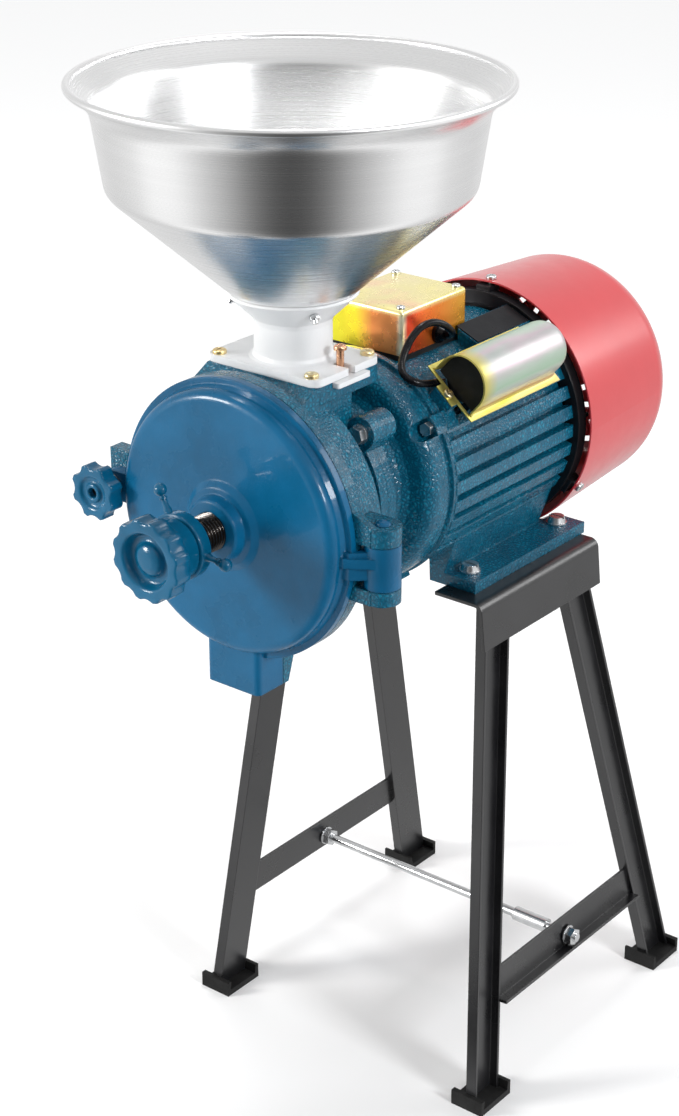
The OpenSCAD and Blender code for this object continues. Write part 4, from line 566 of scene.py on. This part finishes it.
bpy.ops.mesh.select_mode(type="VERT")
bpy.ops.object.mode_set(mode="OBJECT")
wall = lid.modifiers.new("wall", "SOLIDIFY")
wall.thickness = SHEET
wall.offset = -1
bpy.ops.object.modifier_apply(modifier="wall")
bpy.ops.object.shade_smooth_by_angle(angle=math.radians(40))
material, tree, shader, place = new_finish("rainbow_zinc", (0.8, 0.6, 0.2), metallic=0.7, roughness=0.24)
spots = add_node(tree, "SeparateXYZ", {"Vector": place})
across = spread(tree, spots.outputs[0], 0, 0.5, BOX_X - BOX_WIDE / 2, BOX_X + BOX_WIDE / 2)
along = spread(tree, spots.outputs[1], 0, 0.5, BOX_Y - BOX_LONG / 2, BOX_Y + BOX_LONG / 2)
round_box = add_node(tree, "Math", {0: across, 1: along}, operation="ADD").outputs[0]
drift = spread(tree, noise(tree, place, 22, 2, 0.5, 0.8), -0.015, 0.015)
round_box = add_node(tree, "Math", {0: round_box, 1: drift}, operation="ADD").outputs[0]
# The pale straw stops at 0.49 and 0.505 are a painted highlight on the front right and back left vertical
# corners of the lid; the other stops are the zinc's own colours.
SIDE_TONES_AND_CORNER_HIGHLIGHT = [(0.0, (0.74, 0.72, 0.03)), (0.18, (0.90, 0.70, 0.03)), (0.3, (0.90, 0.30, 0.08)),
              (0.46, (0.80, 0.30, 0.10)), (0.49, (0.92, 0.86, 0.62)), (0.505, (0.92, 0.86, 0.62)),
              (0.53, (0.92, 0.07, 0.03)), (0.72, (0.94, 0.20, 0.03)), (0.95, (0.84, 0.40, 0.04))]
TOP_TONES = [(0.3, (0.94, 0.85, 0.30)), (0.55, (0.94, 0.83, 0.42)), (0.68, (0.95, 0.68, 0.42))]
sides_and_corner_highlight = ramp(tree, round_box, SIDE_TONES_AND_CORNER_HIGHLIGHT)
top = ramp(tree, noise(tree, place, 16, 2, 0.5, 0.8), TOP_TONES)
at_top = spread(tree, spots.outputs[2], 0, 1, BOX_HIGH - 0.006, BOX_HIGH - 0.001)
tone = add_node(tree, "MixRGB", {"Fac": at_top, 1: sides_and_corner_highlight, 2: top}).outputs[0]
tree.links.new(tone, shader.inputs["Base Color"])
tree.links.new(spread(tree, noise(tree, place, 70, 4), 0.2, 0.34), shader.inputs["Roughness"])
bump(tree, shader, noise(tree, place, 120, 1), 0.0001, 0.12)
finish(lid, "machine", "box_lid", material)


# ---- Capacitor cover ----
# Drawn sheet steel over the capacitor: a flared front lip, a domed rear end, flanges along both sides and a
# screwed tab at each end. Its passivated zinc is yellow on the flanges and pale green and pink above them.
CAP_TILT = math.radians(41)
CAP_MID, CAP_BASE, CAP_FRONT, CAP_LONG = 0.013, 0.107, -0.019975, 0.121
FLANGE, ARCH, ARCH_SIDE, TAB_HALF = 0.028, 0.022, 0.013, 0.010


def on_barrel(across, out, y):
    x, z = CAP_MID + across, CAP_BASE + out
    return Vector((x * math.cos(CAP_TILT) + z * math.sin(CAP_TILT), y,
                   SPINDLE_Z - x * math.sin(CAP_TILT) + z * math.cos(CAP_TILT)))


def flat_plate(half, start, end):
    bpy.ops.object.select_all(action="DESELECT")
    bpy.ops.mesh.primitive_cube_add(size=1, location=on_barrel(0, SHEET / 2, (start + end) / 2),
                                    rotation=(0, CAP_TILT, 0), scale=(2 * half, end - start, SHEET))
    bpy.ops.object.transform_apply(location=True, rotation=True, scale=True)
    bpy.ops.object.mode_set(mode="EDIT")
    bpy.ops.mesh.select_all(action="SELECT")
    bpy.ops.mesh.bevel(offset=0.0004, segments=2, affect="EDGES")
    bpy.ops.object.mode_set(mode="OBJECT")
    return bpy.context.object


section = softened([(-FLANGE, SHEET), (-ARCH, SHEET), (-ARCH, ARCH_SIDE)], 0.0035)
section += arc((0, ARCH_SIDE), ARCH, 180, 0, 24)[1:-1]
section += softened([(ARCH, ARCH_SIDE), (ARCH, SHEET), (FLANGE, SHEET)], 0.0035)
hood = drawn_line("cover_of_capacitor", [on_barrel(u, w, CAP_FRONT) for u, w in section])
bpy.ops.mesh.select_all(action="SELECT")
LIP = [(0, 1.05), (0.0012, 1.035), (0.003, 1.012), (0.005, 1.0), (CAP_LONG / 2, 1.0)]
DOME = [(CAP_LONG - 0.010, 1.0), (CAP_LONG - 0.006, 0.985), (CAP_LONG - 0.003, 0.95),
        (CAP_LONG - 0.001, 0.89), (CAP_LONG, 0.82)]
size, y = 1.0, CAP_FRONT
for station, wanted in LIP + DOME:
    if station:
        bpy.ops.mesh.extrude_region_move(TRANSFORM_OT_translate={"value": (0, CAP_FRONT + station - y, 0)})
        y = CAP_FRONT + station
    mesh = bmesh.from_edit_mesh(hood.data)
    line = [corner for corner in mesh.verts if corner.select]
    base, out = on_barrel(0, 0, y), on_barrel(0, 1, y) - on_barrel(0, 0, y)
    for corner in line:
        corner.select = (corner.co - base).dot(out) > SHEET + 0.0001
    mesh.select_flush_mode()
    bpy.ops.transform.resize(value=(wanted / size, 1, wanted / size), center_override=base)
    size = wanted
    mesh = bmesh.from_edit_mesh(hood.data)
    for corner in mesh.verts:
        corner.select = abs(corner.co.y - y) < 0.00001
    mesh.select_flush_mode()
bpy.ops.mesh.edge_face_add()
bpy.ops.mesh.select_all(action="SELECT")
bpy.ops.mesh.remove_doubles(threshold=0.00001)
bpy.ops.mesh.normals_make_consistent(inside=False)
bpy.ops.object.mode_set(mode="OBJECT")
wall = hood.modifiers.new("wall", "SOLIDIFY")
wall.thickness = SHEET
wall.offset = -1
bpy.ops.object.modifier_apply(modifier="wall")
PLATES = [(FLANGE, -0.003, 0.0005), (TAB_HALF, -0.010, -0.002),
          (TAB_HALF, CAP_LONG - 0.001, CAP_LONG + 0.010)]
plates = [flat_plate(half, CAP_FRONT + start, CAP_FRONT + end) for half, start, end in PLATES]
hood = joined([hood] + plates)
bpy.ops.object.shade_smooth_by_angle(angle=math.radians(40))
material, tree, shader, place = new_finish("pale_zinc", (0.85, 0.85, 0.8), metallic=0.85, roughness=0.42)
level = add_node(tree, "Mapping", {"Vector": place, "Rotation": (0, -CAP_TILT, 0), "Location": (
    SPINDLE_Z * math.sin(CAP_TILT), 0, -SPINDLE_Z * math.cos(CAP_TILT))}).outputs["Vector"]
spots = add_node(tree, "SeparateXYZ", {"Vector": level})
streaks = add_node(tree, "Mapping", {"Vector": level, "Scale": (1, 0.2, 1)}).outputs["Vector"]
drift = spread(tree, noise(tree, streaks, 60, 2, 0.5, 0.6), -0.06, 0.06)
risen = spread(tree, spots.outputs[2], 0, 1, CAP_BASE, CAP_BASE + 0.036)
risen = add_node(tree, "Math", {0: risen, 1: drift}, operation="ADD").outputs[0]
COVER_TONES = [(0.0, (0.56, 0.48, 0.06)), (0.04, (0.66, 0.56, 0.18)), (0.12, (0.68, 0.45, 0.30)),
               (0.22, (0.74, 0.68, 0.60)), (0.42, (0.74, 0.76, 0.70)), (0.62, (0.46, 0.64, 0.48)),
               (0.80, (0.52, 0.62, 0.53)), (0.92, (0.60, 0.51, 0.55)), (1.0, (0.52, 0.55, 0.53))]
LIP_TONE = (0.66, 0.58, 0.16, 1)
near_lip = spread(tree, spots.outputs[1], 1, 0, CAP_FRONT + 0.004, CAP_FRONT + 0.02)
tone = add_node(tree, "MixRGB", {"Fac": near_lip, 1: ramp(tree, risen, COVER_TONES), 2: LIP_TONE}).outputs[0]
tree.links.new(tone, shader.inputs["Base Color"])
tree.links.new(spread(tree, noise(tree, place, 70, 4), 0.38, 0.46), shader.inputs["Roughness"])
bump(tree, shader, noise(tree, place, 120, 1), 0.0001, 0.12)
finish(hood, "machine", "capacitor_cover", material)

# ---- Capacitor ----
# A black moulded can under the cover. A flat rubber end fills the arch of the cover behind its lip. The bare
# data plate beside them is dark anodised aluminium.
CAN_RADIUS, CAN_OUT, CAN_LONG, CAN_AT = 0.019, 0.0145, CAP_LONG - 0.012, 0.0056
END_AT, END_FOOT, END_REACH = 0.0052, 0.0014, ARCH - SHEET - 0.0003
can_shape = softened([(0, 0), (CAN_RADIUS, 0), (CAN_RADIUS, CAN_LONG), (0, CAN_LONG)], 0.002)
can = turned("can_of_capacitor", can_shape, on_barrel(0, CAN_OUT, CAP_FRONT + CAN_AT), (0, 1, 0), steps=64)
inner = [END_REACH * math.cos(math.radians(15 * k)) for k in range(13)]
rise = [ARCH_SIDE + END_REACH * math.sin(math.radians(15 * k)) for k in range(13)]
outline = [(inner[0], END_FOOT)] + list(zip(inner, rise)) + [(inner[-1], END_FOOT)]
end = drawn_line("end_of_capacitor", [on_barrel(u, w, CAP_FRONT + END_AT) for u, w in outline])
bpy.ops.mesh.select_all(action="SELECT")
bpy.ops.mesh.edge_face_add()
bpy.ops.mesh.inset(thickness=0.0022)
bpy.ops.transform.translate(value=(0, 0.0006, 0))
bpy.ops.object.mode_set(mode="OBJECT")
depth = end.modifiers.new("depth", "SOLIDIFY")
depth.thickness = 0.0012
depth.offset = 0
bpy.ops.object.modifier_apply(modifier="depth")
can = joined([can, end])
bpy.ops.object.shade_smooth_by_angle(angle=math.radians(30))
finish(can, "machine", "capacitor", moulded_black)
dress("data_plate", plating("plate_aluminium", (0.035, 0.036, 0.040), 0.26))


# ---- Hopper ----
# Spun from 1.2 mm stainless sheet: spout, cone, flaring body and a lip rolled outward over a wire. Screws
# round the cup of the cast seat hold its spout.
def spun_steel(name):
    material, tree, shader, place = new_finish(name, (0.80, 0.80, 0.80), metallic=1.0, roughness=0.2)
    axis = add_node(tree, "Mapping", {"Vector": place, "Location": (0, -HOPPER_Y, 0)}).outputs["Vector"]
    parts = add_node(tree, "SeparateXYZ", {"Vector": axis})
    flat = add_node(tree, "CombineXYZ", {0: parts.outputs[0], 1: parts.outputs[1], 2: 0.0})
    radius = add_node(tree, "VectorMath", {0: flat.outputs[0]}, operation="LENGTH").outputs["Value"]
    rings = add_node(tree, "CombineXYZ", {0: radius, 1: 0.0, 2: parts.outputs[2]}).outputs[0]
    lines = noise(tree, rings, 2200, 2)
    tree.links.new(spread(tree, lines, 0.25, 0.31), shader.inputs["Roughness"])
    tone = ramp(tree, noise(tree, rings, 120, 4), [(0.3, (0.87, 0.87, 0.872)), (0.7, (0.92, 0.92, 0.922))])
    tree.links.new(tone, shader.inputs["Base Color"])
    bump(tree, shader, lines, 0.00002, 0.25)
    return material


ROLL_AT, ROLL_RADIUS = (0.162, 0.87442), 0.003
SPOUT_OUT, SPOUT_IN, SPOUT_LOW = 0.0254, 0.0242, 0.6878
outside = softened([(SPOUT_OUT, SPOUT_LOW), (SPOUT_OUT, 0.6978), (0.138, 0.79742), (0.147, 0.85742),
                    (0.1598, 0.87195)], 0.005)
lip = arc(ROLL_AT, ROLL_RADIUS, 232, 560, 20)
inside = softened([(0.1593, 0.8732), (0.1458, 0.8580), (0.1368, 0.79796), (SPOUT_IN, 0.69834),
                   (SPOUT_IN, SPOUT_LOW), (SPOUT_OUT, SPOUT_LOW)], 0.005)
cone = turned("shell_of_hopper", outside + lip + inside, (0, HOPPER_Y, 0), (0, 0, 1), steps=128)
finish(cone, "machine", "hopper", spun_steel("spun_stainless"))


# ---- Seat and gate ----
# A white powder-coated cast seat that carries the hopper in its cup. The slide gate under it, in the same
# white, shuts off the grain.
def powder_coat(name, colour):
    material, tree, shader, place = new_finish(name, colour, roughness=0.34, specular=0.5)
    tree.links.new(spread(tree, noise(tree, place, 60, 4), 0.28, 0.42), shader.inputs["Roughness"])
    thin = tuple(c * 0.95 for c in colour)
    tone = ramp(tree, noise(tree, place, 30, 4), [(0.3, thin), (0.7, colour)])
    tree.links.new(tone, shader.inputs["Base Color"])
    bump(tree, shader, noise(tree, place, 380, 3), 0.0003, 0.3, edge=0.0014)
    return material


white_coat = powder_coat("white_powder_coat", (0.76, 0.77, 0.78))
dress("hopper_seat", white_coat)
dress("feed_gate", white_coat)
